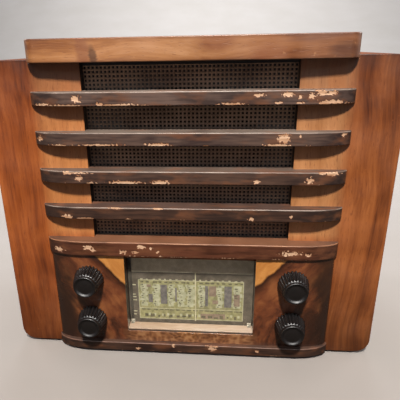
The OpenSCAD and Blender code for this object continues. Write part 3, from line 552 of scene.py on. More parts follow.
# Chips: (place along the bar, height up its face, length, height of the chip).
LOUVRE_CHIPS = [
    [(-167, 1.5, 18, 3), (-141, 0.8, 36, 2), (-126, 8, 9, 7), (-100, 2.2, 9, 3), (-75, 1, 40, 2.5),
     (50, 1.5, 24, 2), (78, 10.5, 10, 3), (99, 2.2, 8, 2), (109, 11, 11, 4.5), (122, 8.4, 4, 4),
     (122, 2, 8, 2), (134, 9.3, 6, 6), (145, 13, 10, 6), (156, 2.3, 25, 4.5), (156, 12.3, 10, 4)],
    [(-152, 1, 15, 2), (-101, 1.5, 42, 2), (-34, 2, 23, 3), (101, 1.5, 24, 2.5), (108, 8.8, 12, 10),
     (126, 11.6, 3, 3), (174, 12, 5, 4), (-176, 8, 5, 6)],
    [(-146, 13.7, 10, 4), (-131, 13.8, 20, 2), (-132, 7, 8, 6), (-117, 1, 11, 2), (-76, 1.8, 34, 4),
     (-32, 2.5, 18, 4), (80, 3.8, 6, 4), (140, 6, 8, 7), (154, 14.8, 11, 3), (166, 13.5, 16, 4)],
    [(-151, 2.2, 11, 6), (-127, 1, 19, 2.5), (-73, 1, 8, 2), (-89, 15, 14, 2), (-37, 15, 10, 2),
     (75, 3.4, 6, 4), (122, 7, 3, 3)],
]
# How far the bar stands out, and per louvre its dark and light lacquer and its dust. The upper
# ones have faded greyer than the lower ones.
LOUVRE_REACH = 14.6
LOUVRE_COLOURS = [("#3a2a25", "#655047", "#786a60"), ("#372724", "#5f4a40", "#726459"),
                  ("#33231e", "#553e33", "#655449"), ("#2f1f19", "#4e3529", "#523c33")]
for index, chips in enumerate(LOUVRE_CHIPS):
    node = f"louvre_{index + 1}"
    low, high = corners(node)
    thickness = (high.z - low.z) / MM
    data = bar_mesh(f"lacquered_{node}", high.z / MM, thickness, LOUVRE_REACH, chips, True, index * 11.0)
    dark, light, dusty = LOUVRE_COLOURS[index]
    data.materials.append(lacquer(f"chipped dark lacquer, louvre {index + 1}", dark, light, dusty,
                                  "#9c8a7e", 0.9))
    louvre = new_object(f"lacquered_{node}", data)
    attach(louvre, "cabinet")
    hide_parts(node)

WAIST_CHIPS = [(-168, 7, 11, 5), (-128, 12, 12, 5), (-122, 8, 8, 4), (-83, 6.5, 7, 4), (-68, 6.8, 6, 3),
               (-60, 14, 8, 4), (-48, 12.5, 5, 3), (-39, 7.5, 4, 3), (125, 9, 18, 6), (146, 7.5, 7, 3)]
BASE_CHIPS = [(-71, 4, 6, 4), (-22, 10, 4, 4), (30, 8, 11, 6), (33, 12, 16, 2), (90, 7, 4, 3)]
# Each bar's worn colour lightens its upper edge: real wear and a painted highlight.
for node, name, reach, chips, colours, dusty, worn, dust_share, slot in [
    ("waist_bar", "red_brown_waist_bar", 16.4, WAIST_CHIPS, ("#401f0e", "#623724"), "#80553a", "#b27c59",
     0.9, "red_brown_lacquer"),
    ("base_rail", "dark_base_rail", 18.4, BASE_CHIPS, ("#2c1b16", "#4a3328"), "#503424", "#7c5846",
     0.8, "base_lacquer"),
]:
    low, high = corners(node)
    has_tongue = node == "waist_bar"
    data = bar_mesh(name, high.z / MM, (high.z - low.z) / MM, reach, chips, has_tongue, reach)
    data.materials.append(lacquer(f"chipped lacquer, {node.replace('_', ' ')}", *colours, dusty, worn,
                                  dust_share))
    bar = new_object(name, data)
    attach(bar, "cabinet")
    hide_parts(node)


# ---------------------------------------------------------------------------------------------
# Knob panel. A block faced with book-matched crotch walnut under glossy varnish: amber sapwood
# beside the dial's upper corners, slanting dark streaks, and near black at both ends, dark wood deepened by
# painted shade.
# ---------------------------------------------------------------------------------------------
figured_walnut, tree = new_material("book-matched crotch walnut, glossy varnish")
place = place_in_mm(tree)
swirl = add(tree, "ShaderNodeTexNoise", {"Vector": place, "Scale": 1 / 45, "Detail": 3.0}, out="Color")
swirl = add(tree, "ShaderNodeVectorMath", {0: swirl, 1: (0.5, 0.5, 0.5)}, operation="SUBTRACT")
swirl = add(tree, "ShaderNodeVectorMath", {0: swirl, "Scale": 40.0}, operation="SCALE")
place_swirled = add(tree, "ShaderNodeVectorMath", {0: place, 1: swirl}, operation="ADD")
axes = tree.nodes.new("ShaderNodeSeparateXYZ")
tree.links.new(place_swirled, axes.inputs[0])
from_centre = add(tree, "ShaderNodeMath", {0: axes.outputs["X"]}, operation="ABSOLUTE")
rise = add(tree, "ShaderNodeMath", {0: axes.outputs["Z"], 1: axes.outputs["Z"]}, operation="MULTIPLY")
rise = add(tree, "ShaderNodeMath", {0: rise, 1: 0.5 / 143}, operation="MULTIPLY")
slant = add(tree, "ShaderNodeMath", {0: from_centre, 1: -0.9, 2: rise}, operation="MULTIPLY_ADD")
lengthwise = add(tree, "ShaderNodeMath", {0: from_centre, 1: axes.outputs["Z"]}, operation="ADD")
lengthwise = add(tree, "ShaderNodeMath", {0: lengthwise, 1: 0.06}, operation="MULTIPLY")
figure = add(tree, "ShaderNodeCombineXYZ", {0: slant, 1: lengthwise, 2: axes.outputs["Y"]})
streaks = add(tree, "ShaderNodeTexNoise", {"Vector": figure, "Scale": 1 / 15, "Detail": 6.0,
                                           "Roughness": 0.6}, out="Fac")
patches = add(tree, "ShaderNodeTexNoise", {"Vector": place, "Scale": 1 / 30, "Detail": 3.0}, out="Fac")
tone = add(tree, "ShaderNodeMath", {0: streaks, 1: 0.80}, operation="MULTIPLY")
tone = add(tree, "ShaderNodeMath", {0: patches, 1: 0.35, 2: tone}, operation="MULTIPLY_ADD")
colour = add(tree, "ShaderNodeValToRGB", {"Fac": tone}, stops=[
    (0.38, "#25140d"), (0.47, "#532d1c"), (0.56, "#743f25"), (0.70, "#945933")])
# The sapwood lies beyond a slanting line, which a dark band follows.
true_axes = tree.nodes.new("ShaderNodeSeparateXYZ")
tree.links.new(place, true_axes.inputs[0])
true_across = add(tree, "ShaderNodeMath", {0: true_axes.outputs["X"]}, operation="ABSOLUTE")
beyond = add(tree, "ShaderNodeMath", {0: true_across, 1: -1.09, 2: true_axes.outputs["Z"]},
             operation="MULTIPLY_ADD")
drift = add(tree, "ShaderNodeTexNoise", {"Vector": place, "Scale": 1 / 16, "Detail": 3.0}, out="Fac")
beyond = add(tree, "ShaderNodeMath", {0: drift, 1: 12.0, 2: beyond}, operation="MULTIPLY_ADD")
sapwood = add(tree, "ShaderNodeMapRange", {"Value": beyond, "From Min": 14.0, "From Max": 18.0})
band = add(tree, "ShaderNodeMapRange", {"Value": beyond, "From Min": -3.0, "From Max": 12.0})
amber = add(tree, "ShaderNodeValToRGB", {"Fac": streaks}, stops=[(0.35, "#b87436"), (0.65, "#d6934e")])
beside_band = add(tree, "ShaderNodeMix", {0: band, 6: colour, 7: linear("#3a1d10")}, out=2, data_type="RGBA")
colour = add(tree, "ShaderNodeMix", {0: sapwood, 6: beside_band, 7: amber}, out=2, data_type="RGBA")
# Towards the block's rounded ends the colour goes near black: dark wood, deepened as painted shade where the
# surface turns back. The lower corners are darkened too.
ends_reach = add(tree, "ShaderNodeMath", {0: patches, 1: 60.0, 2: true_across}, operation="MULTIPLY_ADD")
ends = add(tree, "ShaderNodeMapRange", {"Value": ends_reach, "From Min": 172.0, "From Max": 198.0,
                                        "To Max": 0.85})
colour = add(tree, "ShaderNodeMix", {0: ends, 6: colour, 7: linear("#1e120c")}, out=2, data_type="RGBA")
low_corners = add(tree, "ShaderNodeMath", {0: true_axes.outputs["Z"], 1: -0.8, 2: ends_reach},
                  operation="MULTIPLY_ADD")
low_corners = add(tree, "ShaderNodeMath", {0: streaks, 1: -110.0, 2: low_corners},
                  operation="MULTIPLY_ADD")
low_corners = add(tree, "ShaderNodeMapRange", {"Value": low_corners, "From Min": 46.0, "From Max": 76.0,
                                               "To Max": 0.7})
colour = add(tree, "ShaderNodeMix", {0: low_corners, 6: colour, 7: linear("#28170f")}, out=2,
             data_type="RGBA")
# Below the dial the veneer is a mottled burl.
burl = add(tree, "ShaderNodeTexVoronoi", {"Vector": place_swirled, "Scale": 1 / 6.0}, out="Distance")
burl = add(tree, "ShaderNodeValToRGB", {"Fac": burl}, stops=[(0.1, "#5c3822"), (0.5, "#8a5a39"),
                                                            (0.8, "#ab7a52")])
below = add(tree, "ShaderNodeMapRange", {"Value": true_axes.outputs["Z"], "From Min": 34.0, "From Max": 28.0})
between = add(tree, "ShaderNodeMapRange", {"Value": true_across, "From Min": 92.0, "From Max": 74.0,
                                           "To Max": 0.9})
below = add(tree, "ShaderNodeMath", {0: below, 1: between}, operation="MULTIPLY")
colour = add(tree, "ShaderNodeMix", {0: below, 6: colour, 7: burl}, out=2, data_type="RGBA")
# The window's cut edges are darkened: a dark stain, and painted shade of the recess.
PANEL_FACE = corners("knob_panel")[0].y / MM
WINDOW_HALF = 84.0
reveal_stain_and_shade = add(tree, "ShaderNodeMapRange", {"Value": true_axes.outputs["Y"], "From Min": PANEL_FACE + 0.6,
                                          "From Max": PANEL_FACE + 1.2})
window = add(tree, "ShaderNodeMapRange", {"Value": true_across, "From Min": WINDOW_HALF + 2.0,
                                          "From Max": WINDOW_HALF + 1.0})
reveal_stain_and_shade = add(tree, "ShaderNodeMath", {0: reveal_stain_and_shade, 1: window}, operation="MULTIPLY")
colour = add(tree, "ShaderNodeMix", {0: reveal_stain_and_shade, 6: colour, 7: linear("#2b1b12")}, out=2, data_type="RGBA")
rough = add(tree, "ShaderNodeMapRange", {"Value": patches, "To Min": 0.16, "To Max": 0.42})
bump = add(tree, "ShaderNodeBump", {"Height": streaks, "Strength": 0.25, "Distance": 0.0001})
show(tree, add(tree, "ShaderNodeBsdfPrincipled", {
    "Base Color": colour, "Roughness": rough, "Normal": bump, "IOR": 1.5,
    "Coat Weight": 0.4, "Coat Roughness": 0.12}))
eased_copy("knob_panel", "figured_knob_panel", 0.8, figured_walnut)


# ---------------------------------------------------------------------------------------------
# Dial. A clear glass held by two clips over a printed plate, with a cream pointer between them.
# A pale strip lines the window's lower edge. The plate is screwed to a plated steel frame.
# ---------------------------------------------------------------------------------------------
def finish_node(node, material):
    """Gives a CAD node that stays in view its own material."""
    nodes[node].data.materials.clear()
    nodes[node].data.materials.append(material)


pale_strip = veneer("pale limed sycamore strip", "#a3866d", "#bfa68f", "#d6c9bb", "X")
eased_copy("dial_sill", "window_sill", 0.5, pale_strip)


def metal(name, dark, light, roughness, metallic, brush=(1.0, 1.0, 1.0)):
    """Sheet or turned metal with brush lines, cloudy tarnish and uneven polish."""
    material, tree = new_material(name)
    place = place_in_mm(tree)
    lines = add(tree, "ShaderNodeMapping", {"Vector": place, "Scale": brush})
    lines = add(tree, "ShaderNodeTexNoise", {"Vector": lines, "Scale": 1 / 0.8, "Detail": 4.0}, out="Fac")
    tarnish = add(tree, "ShaderNodeTexNoise", {"Vector": place, "Scale": 1 / 14, "Detail": 5.0}, out="Fac")
    colour = add(tree, "ShaderNodeValToRGB", {"Fac": tarnish}, stops=[(0.35, dark), (0.65, light)])
    rough = add(tree, "ShaderNodeMapRange", {"Value": tarnish, "From Min": 0.3, "From Max": 0.7,
                "To Min": roughness + 0.12, "To Max": roughness - 0.08})
    bump = add(tree, "ShaderNodeBump", {"Height": lines, "Strength": 0.2, "Distance": 0.00005})
    show(tree, add(tree, "ShaderNodeBsdfPrincipled", {
        "Base Color": colour, "Roughness": rough, "Metallic": metallic, "Normal": bump}))
    return material


# Worn plating and polish that catch the light as soft broken streaks.
bright_steel = metal("dulled bright steel", "#8a857c", "#c9c5ba", 0.32, 1.0)
zinc_plate = metal("zinc-plated sheet steel", "#85878a", "#a6a8a8", 0.45, 1.0, (0.2, 1.0, 1.0))
turned_brass = metal("turned brass", "#8c6f38", "#c2a25c", 0.34, 1.0)
rolled_aluminium = metal("dull rolled aluminium", "#9a9c9e", "#c3c5c6", 0.42, 1.0, (1.0, 1.0, 0.1))
for node in ("dial_clips", "pointer_rail"):
    finish_node(node, bright_steel)
for node in ("dial_frame", "drive_drum", "potentiometers", "capacitor_frame", "chassis"):
    finish_node(node, zinc_plate)
for node in ("pulley_left", "pulley_right", "spindle_bushes"):
    finish_node(node, turned_brass)

# Glass that shows as a faint film of dust and a sharp reflection.
dial_pane, tree = new_material("old flat glass, hazed with dust")
place = place_in_mm(tree)
haze = add(tree, "ShaderNodeTexNoise", {"Vector": place, "Scale": 1 / 22, "Detail": 5.0}, out="Fac")
haze = add(tree, "ShaderNodeMapRange", {"Value": haze, "From Min": 0.3, "From Max": 0.7,
                                        "To Min": 0.05, "To Max": 0.12})
show(tree, add(tree, "ShaderNodeBsdfPrincipled", {
    "Base Color": linear("#b9ae9c"), "Roughness": 0.06, "Alpha": haze, "IOR": 1.52,
    "Coat Weight": 1.0, "Coat Roughness": 0.03}))
eased_copy("dial_glass", "dial_pane", 0.2, dial_pane)

# Printed plate: grey-brown round the edge, an olive field with cream lines, pale ragged columns of
# stand-ins for lettering and soft violet and rose blocks. Each layer of print is under 0.05 mm thick.
PRINT_LEFT = -71.5
PRINT_RIGHT = 72.0
PRINT_BOTTOM = 33.5
PRINT_TOP = 95.5
PRINT_SPLIT = 50.0
MASK_LEFT = -79.0
MASK_BOTTOM = 109.0
# A black strip down the plate's left edge stands in as painted shade of the deep window recess.
DARK_EDGE_SHADE = (-83.5, 27.0, -79.5, MASK_BOTTOM)
INK = 0.05
PLATE_FACE = corners("dial_scale")[0].y / MM

printed_plate, tree = new_material("enamelled dial plate")
place = place_in_mm(tree)
mottle = add(tree, "ShaderNodeTexNoise", {"Vector": place, "Scale": 1 / 9, "Detail": 5.0}, out="Fac")
surround = add(tree, "ShaderNodeValToRGB", {"Fac": mottle}, stops=[(0.35, "#4d4436"), (0.7, "#72685a")])
show(tree, add(tree, "ShaderNodeBsdfPrincipled", {"Base Color": surround, "Roughness": 0.5}))
finish_node("dial_scale", printed_plate)


def ink(name, dark, light):
    """Matt printing ink, faded unevenly."""
    material, tree = new_material(name)
    place = place_in_mm(tree)
    fade = add(tree, "ShaderNodeTexNoise", {"Vector": place, "Scale": 1 / 6, "Detail": 5.0}, out="Fac")
    colour = add(tree, "ShaderNodeValToRGB", {"Fac": fade}, stops=[(0.36, dark), (0.64, light)])
    show(tree, add(tree, "ShaderNodeBsdfPrincipled", {"Base Color": colour, "Roughness": 0.6}))
    return material


def print_layer(name, rectangles, front, material):
    """Flat printed rectangles (left, bottom, right, top), their ink facing forward at y = front."""
    verts, faces = [], []
    for left, bottom, right_edge, top in rectangles:
        first = len(verts)
        for y in (front, front + INK * 0.9):
            verts += [at(left, y, bottom), at(right_edge, y, bottom)]
            verts += [at(right_edge, y, top), at(left, y, top)]
        faces += [tuple(first + i for i in corner) for corner in (
            (0, 1, 2, 3), (7, 6, 5, 4), (0, 4, 5, 1), (1, 5, 6, 2), (2, 6, 7, 3), (3, 7, 4, 0))]
    data = bpy.data.meshes.new(name)
    data.from_pydata(verts, [], faces)
    data.materials.append(material)
    printed = new_object(name, data)
    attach(printed, "cabinet")


# Old inks: none is even, and the lettering has worn thinner than the rest.
olive_ink = ink("olive dial ink", "#8c8b5a", "#b9b67e")
pale_ink = ink("pale green dial ink", "#babc95", "#d6d6b4")
cream_ink = ink("cream dial ink", "#c3bf98", "#dcd8b4")
violet_ink = ink("violet-grey dial ink", "#5f5c5e", "#85807c")
rose_ink = ink("faded rose dial ink", "#8a7462", "#a8927a")
edge_shade_ink = ink("black ink, painted edge shade", "#1b1812", "#2d291f")
lettering_ink = ink("worn dark dial ink", "#4c4834", "#706c4b")
print_layer("dial_field", [(PRINT_LEFT, PRINT_BOTTOM, PRINT_RIGHT, PRINT_TOP)], PLATE_FACE - INK, olive_ink)

LINE = 1.0
lines = [
    (PRINT_LEFT, PRINT_BOTTOM, PRINT_RIGHT, PRINT_BOTTOM + LINE),
    (PRINT_LEFT, PRINT_TOP - LINE, PRINT_RIGHT, PRINT_TOP),
    (PRINT_LEFT, PRINT_BOTTOM, PRINT_LEFT + LINE, PRINT_TOP),
    (PRINT_RIGHT - LINE, PRINT_BOTTOM, PRINT_RIGHT, PRINT_TOP),
    (PRINT_LEFT, PRINT_SPLIT, PRINT_RIGHT, PRINT_SPLIT + LINE),
]

# Columns where the dial had names: (left, right) of each pale strip, chosen to look uneven.
COLUMNS = [(-68, -60), (-51, -42), (-31, -23), (-17, -8), (-5, 5), (11, 19), (36, 44), (58, 68)]
COLUMN_LOW = 54.0
COLUMN_ROWS = 12
ROW_STEP = 2.9
dice = random.Random(11)
pale_strips, lettering = [], []
for left, right_edge in COLUMNS:
    for row in range(COLUMN_ROWS):
        low = COLUMN_LOW + row * ROW_STEP
        start = left + dice.uniform(-2.0, 1.5)
        stop = right_edge + dice.uniform(-1.5, 2.5)
        pale_strips.append((start, low, stop, low + ROW_STEP + 0.02))
        if dice.random() < 0.8:
            first = start + dice.uniform(0.5, 3.0)
            lettering.append((first, low + 0.7, first + dice.uniform(1.5, 4.0), low + dice.uniform(1.6, 2.6)))
violet_blocks = [(-58, 60, -52, 73), (-41, 58, -32, 88), (-21, 62, -18.5, 84), (20, 56, 24, 88),
                 (46, 55, 56, 88)]
rose_blocks = [(25, 72, 35, 88), (30, 60, 38, 66), (59, 57, 67, 76), (14, 36, 48, 44), (-60, 84, -54, 88)]
for tick in range(18):
    x = PRINT_LEFT + 4 + tick * 7.9 + dice.uniform(-0.8, 0.8)
    lines.append((x, PRINT_TOP - 0.2, x + dice.uniform(2, 4), PRINT_TOP + dice.uniform(0.8, 2.0)))
    lettering.append((x, PRINT_TOP - 4.6, x + dice.uniform(3.5, 6.0), PRINT_TOP - 2.6))
    lettering.append((x, PRINT_SPLIT - 2.2, x + dice.uniform(4.0, 6.5), PRINT_SPLIT - 0.8))
for mark in range(15):
    x = -64 + mark * 8.8 + dice.uniform(-1.5, 1.5)
    low = PRINT_BOTTOM + dice.uniform(2.4, 4.0)
    lettering.append((x, low, x + dice.uniform(2.5, 6), low + dice.uniform(2.5, 5.5)))
    pale_strips.append((x + 5, low + 2, x + 8, low + 6))
margin_ticks = [(PRINT_LEFT - 8, z, PRINT_LEFT - dice.uniform(2.5, 5), z + 1.6)
                for z in (39, 44, 62, 67, 71, 86)]
print_layer("dial_pale_columns", pale_strips, PLATE_FACE - 2 * INK, pale_ink)
print_layer("dial_violet_blocks", violet_blocks, PLATE_FACE - 3 * INK, violet_ink)
print_layer("dial_rose_blocks", rose_blocks, PLATE_FACE - 3 * INK, rose_ink)
print_layer("dial_lettering", lettering, PLATE_FACE - 4 * INK, lettering_ink)
print_layer("dial_lines", lines, PLATE_FACE - 5 * INK, cream_ink)
# Painted shade: a black strip down the plate's left edge.
print_layer("dial_edge_shade", [DARK_EDGE_SHADE], PLATE_FACE - INK, edge_shade_ink)
print_layer("dial_margin_ticks", margin_ticks, PLATE_FACE - INK, cream_ink)

# A painted band along the top of the glass hides the pointer's rail and carriage. Its pale cream is
# also a painted reflection, lightening the band inside the waist bar's shade.
pane_high = corners("dial_glass")[1]
masking_paint_and_reflection = ink("cream masking paint, painted reflection", "#dccfae", "#efe4c8")
print_layer("glass_mask_and_reflection", [(MASK_LEFT, MASK_BOTTOM, pane_high.x / MM, pane_high.z / MM)],
            pane_high.y / MM + INK, masking_paint_and_reflection)

cream_enamel = ink("cream enamel on steel wire", "#d9d2a8", "#efe9c6")
finish_node("dial_pointer", cream_enamel)
linen = ink("waxed linen cord", "#a3977a", "#c9bf9f")
finish_node("dial_cord", linen)


# ---------------------------------------------------------------------------------------------
# Knobs. Black-brown bakelite, pressed in a mould: a fluted skirt that flares to the panel, a
# raised polished ring round the face, and a shallow dished centre. Pushed on steel spindles.
# ---------------------------------------------------------------------------------------------
FLUTES = 24
FLUTE_DEPTH = 2.5
FLUTE_SAMPLES = 10
FACE_HEIGHT = 22.4

# Moulded resin: a near-black brown with a soft sheen, dulled by fine scratches. Real ones are a
# tenth of a millimetre wide, too fine to show, so they are drawn 0.7 mm wide.
bakelite, tree = new_material("black-brown pressed bakelite")
place = place_in_mm(tree)
cloud = add(tree, "ShaderNodeTexNoise", {"Vector": place, "Scale": 1 / 5, "Detail": 5.0}, out="Fac")
scratch = add(tree, "ShaderNodeTexNoise", {"Vector": place, "Scale": 1 / 0.7, "Detail": 3.0}, out="Fac")
colour = add(tree, "ShaderNodeValToRGB", {"Fac": cloud}, stops=[(0.35, "#090606"), (0.7, "#130d0c")])
rough = add(tree, "ShaderNodeMapRange", {"Value": scratch, "To Min": 0.3, "To Max": 0.5})
bump = add(tree, "ShaderNodeBump", {"Height": scratch, "Strength": 0.12, "Distance": 0.0001})
show(tree, add(tree, "ShaderNodeBsdfPrincipled", {
    "Base Color": colour, "Roughness": rough, "Normal": bump, "IOR": 1.58,
    "Coat Weight": 0.12, "Coat Roughness": 0.22}))

# Outline from the back to the centre of the face: (radius, height, depth share of the flutes)
KNOB_OUTLINE = [
    (3.1, 0.0, 0.0), (18.6, 0.0, 1.0), (19.2, 0.2, 1.0), (19.5, 0.7, 1.0), (19.5, 1.6, 1.0), (19.4, 3.0, 1.0),
    (19.0, 5.0, 1.0), (18.6, 7.0, 1.0), (18.2, 9.0, 1.0), (17.8, 11.0, 1.0), (17.4, 13.0, 1.0),
    (17.1, 15.0, 1.0), (16.8, 16.8, 1.0), (16.5, 18.0, 0.8), (16.0, 18.9, 0.45), (15.3, 19.4, 0.15),
    (14.7, 19.7, 0.0), (14.4, 20.2, 0.0), (14.4, 21.4, 0.0), (14.6, 22.3, 0.0), (14.5, 23.1, 0.0),
    (14.2, 23.7, 0.0), (13.7, 24.0, 0.0), (13.1, 23.9, 0.0), (12.4, 23.4, 0.0), (11.6, 22.7, 0.0),
    (10.9, 22.1, 0.0), (10.2, 21.8, 0.0), (9.4, 21.7, 0.0), (8.0, 21.9, 0.0), (6.0, 22.2, 0.0),
    (4.0, FACE_HEIGHT, 0.0), (2.0, FACE_HEIGHT, 0.0), (1.0, FACE_HEIGHT, 0.0),
]
for body in ("tuning", "waveband", "tone", "volume"):
    low, high = corners(f"{body}_knob")
    centre = (low + high) / 2 / MM
    back = high.y / MM
    around = FLUTES * FLUTE_SAMPLES
    verts, faces = [], []
    for radius, height, share in KNOB_OUTLINE:
        for i in range(around):
            turn = 2 * math.pi * i / around
            groove = 1 - abs(math.sin(FLUTES * turn / 2))
            reach = radius - FLUTE_DEPTH * share * groove
            x = centre.x + reach * math.cos(turn)
            verts.append(at(x, back - height, centre.z + reach * math.sin(turn)))
    for ring in range(len(KNOB_OUTLINE) - 1):
        for i in range(around):
            after = (i + 1) % around
            faces.append((ring * around + i, ring * around + after,
                          (ring + 1) * around + after, (ring + 1) * around + i))
    verts.append(at(centre.x, back - FACE_HEIGHT, centre.z))
    last = (len(KNOB_OUTLINE) - 1) * around
    faces += [(last + i, last + (i + 1) % around, len(verts) - 1) for i in range(around)]
    faces.append(tuple(range(around - 1, -1, -1)))
    data = bpy.data.meshes.new(f"fluted_{body}_knob")
    data.from_pydata(verts, [], faces)
    face_outwards(data)
    data.shade_smooth()
    data.materials.append(bakelite)
    knob = new_object(f"fluted_{body}_knob", data)
    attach(knob, body)
    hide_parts(f"{body}_knob")
    finish_node(f"{body}_spindle", bright_steel)


# ---------------------------------------------------------------------------------------------
# Grille cloth. An open plain weave of dusty brown cotton stretched over the speaker board and
# tacked behind it. Its flat ribbons pass over and under each other with dark holes between.
# ---------------------------------------------------------------------------------------------
THREAD_PITCH = 4.85
RIBBON_WIDTH = 2.25
RIBBON_THICK = 0.3
WEAVE_RISE = 0.22

# Dusty threads without gloss, faded in patches. Their nap is drawn 0.9 mm wide so that it shows.
cotton, tree = new_material("dusty brown cotton speaker cloth")
place = place_in_mm(tree)
nap = add(tree, "ShaderNodeTexNoise", {"Vector": place, "Scale": 1 / 0.9, "Detail": 4.0}, out="Fac")
fading = add(tree, "ShaderNodeTexNoise", {"Vector": place, "Scale": 1 / 40, "Detail": 3.0}, out="Fac")
tone = add(tree, "ShaderNodeMath", {0: nap, 1: fading}, operation="ADD")
tone = add(tree, "ShaderNodeMath", {0: tone, 1: 0.5}, operation="MULTIPLY")
colour = add(tree, "ShaderNodeValToRGB", {"Fac": tone}, stops=[(0.36, "#6f5848"), (0.62, "#b89a81")])
bump = add(tree, "ShaderNodeBump", {"Height": nap, "Strength": 0.6, "Distance": 0.0002})
show(tree, add(tree, "ShaderNodeBsdfPrincipled", {
    "Base Color": colour, "Roughness": 0.9, "Normal": bump, "Sheen Weight": 0.3}))

cloth_low, cloth_high = corners("grille_cloth")
cloth_w = (cloth_high.x - cloth_low.x) / MM
cloth_h = (cloth_high.z - cloth_low.z) / MM
weave_tree = bpy.data.node_groups.new("plain weave", "GeometryNodeTree")
weave_tree.interface.new_socket("Geometry", in_out="OUTPUT", socket_type="NodeSocketGeometry")
sockets = {}
for title, kind in [("Pitch", "NodeSocketFloat"), ("Ribbon width", "NodeSocketFloat"),
                    ("Rise", "NodeSocketFloat"), ("Warp threads", "NodeSocketInt"),
                    ("Weft threads", "NodeSocketInt"), ("Cloth", "NodeSocketMaterial")]:
    sockets[title] = weave_tree.interface.new_socket(title, in_out="INPUT", socket_type=kind).identifier
given = weave_tree.nodes.new("NodeGroupInput")


def threads(tree, count, crossings, along, over):
    """One set of parallel ribbons, waved over and under where the other set crosses them.

    along is their axis, and over is 1 or -1, which sets whether they start above or below."""
    pitch = given.outputs["Pitch"]
    length = add(tree, "ShaderNodeMath", {0: crossings, 1: pitch}, operation="MULTIPLY")
    span = add(tree, "ShaderNodeMath", {0: count, 1: pitch}, operation="MULTIPLY")
    start = add(tree, "ShaderNodeMath", {0: length, 1: -0.5}, operation="MULTIPLY")
    stop = add(tree, "ShaderNodeMath", {0: length, 1: 0.5}, operation="MULTIPLY")
    ends = [add(tree, "ShaderNodeCombineXYZ", {along: value}) for value in (start, stop)]
    line = add(tree, "GeometryNodeCurvePrimitiveLine", {"Start": ends[0], "End": ends[1]})
    samples = add(tree, "ShaderNodeMath", {0: crossings, 1: 3.0}, operation="MULTIPLY")
    line = add(tree, "GeometryNodeResampleCurve", {"Curve": line, "Count": samples})
    side = "Z" if along == "X" else "X"
    first = add(tree, "ShaderNodeMath", {0: span, 1: -0.5}, operation="MULTIPLY")
    first = add(tree, "ShaderNodeMath", {0: pitch, 1: 0.5, 2: first}, operation="MULTIPLY_ADD")
    first = add(tree, "ShaderNodeCombineXYZ", {side: first})
    step = add(tree, "ShaderNodeCombineXYZ", {side: pitch})
    row = add(tree, "GeometryNodeMeshLine", {"Count": count, "Start Location": first, "Offset": step})
    laid = add(tree, "GeometryNodeInstanceOnPoints", {"Points": row, "Instance": line})
    laid = add(tree, "GeometryNodeRealizeInstances", {"Geometry": laid})
    spot = tree.nodes.new("ShaderNodeSeparateXYZ")
    tree.links.new(add(tree, "GeometryNodeInputPosition"), spot.inputs[0])
    waves = []
    for axis, operation, total in (("X", "COSINE", "Warp threads"), ("Z", "SINE", "Weft threads")):
        half = add(tree, "ShaderNodeMath", {0: given.outputs[total], 1: -0.5}, operation="MULTIPLY")
        turn = add(tree, "ShaderNodeMath", {0: spot.outputs[axis], 1: pitch}, operation="DIVIDE")
        turn = add(tree, "ShaderNodeMath", {0: turn, 1: half}, operation="SUBTRACT")
        turn = add(tree, "ShaderNodeMath", {0: turn, 1: 0.5 if axis == "X" else 0.0}, operation="SUBTRACT")
        turn = add(tree, "ShaderNodeMath", {0: turn, 1: math.pi}, operation="MULTIPLY")
        waves.append(add(tree, "ShaderNodeMath", {0: turn}, operation=operation))
    wave = add(tree, "ShaderNodeMath", {0: waves[0], 1: waves[1]}, operation="MULTIPLY")
    wave = add(tree, "ShaderNodeMath", {0: wave, 1: given.outputs["Rise"]}, operation="MULTIPLY")
    wave = add(tree, "ShaderNodeMath", {0: wave, 1: over}, operation="MULTIPLY")
    moved = add(tree, "GeometryNodeSetPosition", {
        "Geometry": laid, "Offset": add(tree, "ShaderNodeCombineXYZ", {"Y": wave})})
    upright = add(tree, "GeometryNodeSetCurveNormal", {"Curve": moved, "Normal": (0.0, 1.0, 0.0)},
                  mode="FREE")
    section = add(tree, "GeometryNodeCurvePrimitiveQuadrilateral", {
        "Width": RIBBON_THICK * MM, "Height": given.outputs["Ribbon width"]})
    return add(tree, "GeometryNodeCurveToMesh", {
        "Curve": upright, "Profile Curve": section, "Fill Caps": True})


warp = threads(weave_tree, given.outputs["Warp threads"], given.outputs["Weft threads"], "Z", 1.0)
weft = threads(weave_tree, given.outputs["Weft threads"], given.outputs["Warp threads"], "X", -1.0)
joined = weave_tree.nodes.new("GeometryNodeJoinGeometry")
weave_tree.links.new(warp, joined.inputs[0])
weave_tree.links.new(weft, joined.inputs[0])
real = add(weave_tree, "GeometryNodeRealizeInstances", {"Geometry": joined.outputs[0]})
dyed = add(weave_tree, "GeometryNodeSetMaterial", {"Geometry": real, "Material": given.outputs["Cloth"]})
finished = weave_tree.nodes.new("NodeGroupOutput")
weave_tree.links.new(dyed, finished.inputs[0])

loom = new_object("loom", bpy.data.meshes.new("loom"))
weaving = loom.modifiers.new("weave", "NODES")
weaving.node_group = weave_tree
for title, value in [("Pitch", THREAD_PITCH * MM), ("Ribbon width", RIBBON_WIDTH * MM),
                     ("Rise", WEAVE_RISE * MM), ("Warp threads", int(cloth_w / THREAD_PITCH)),
                     ("Weft threads", int(cloth_h / THREAD_PITCH)), ("Cloth", cotton)]:
    weaving[sockets[title]] = value
bpy.context.view_layer.update()
woven = bpy.data.meshes.new_from_object(loom.evaluated_get(bpy.context.evaluated_depsgraph_get()))
bpy.data.objects.remove(loom)
woven.transform(Matrix.Translation((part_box("grille_cloth")[0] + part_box("grille_cloth")[1]) / 2))
cloth = new_object("woven_grille_cloth", woven)
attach(cloth, "cabinet")
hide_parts("grille_cloth")

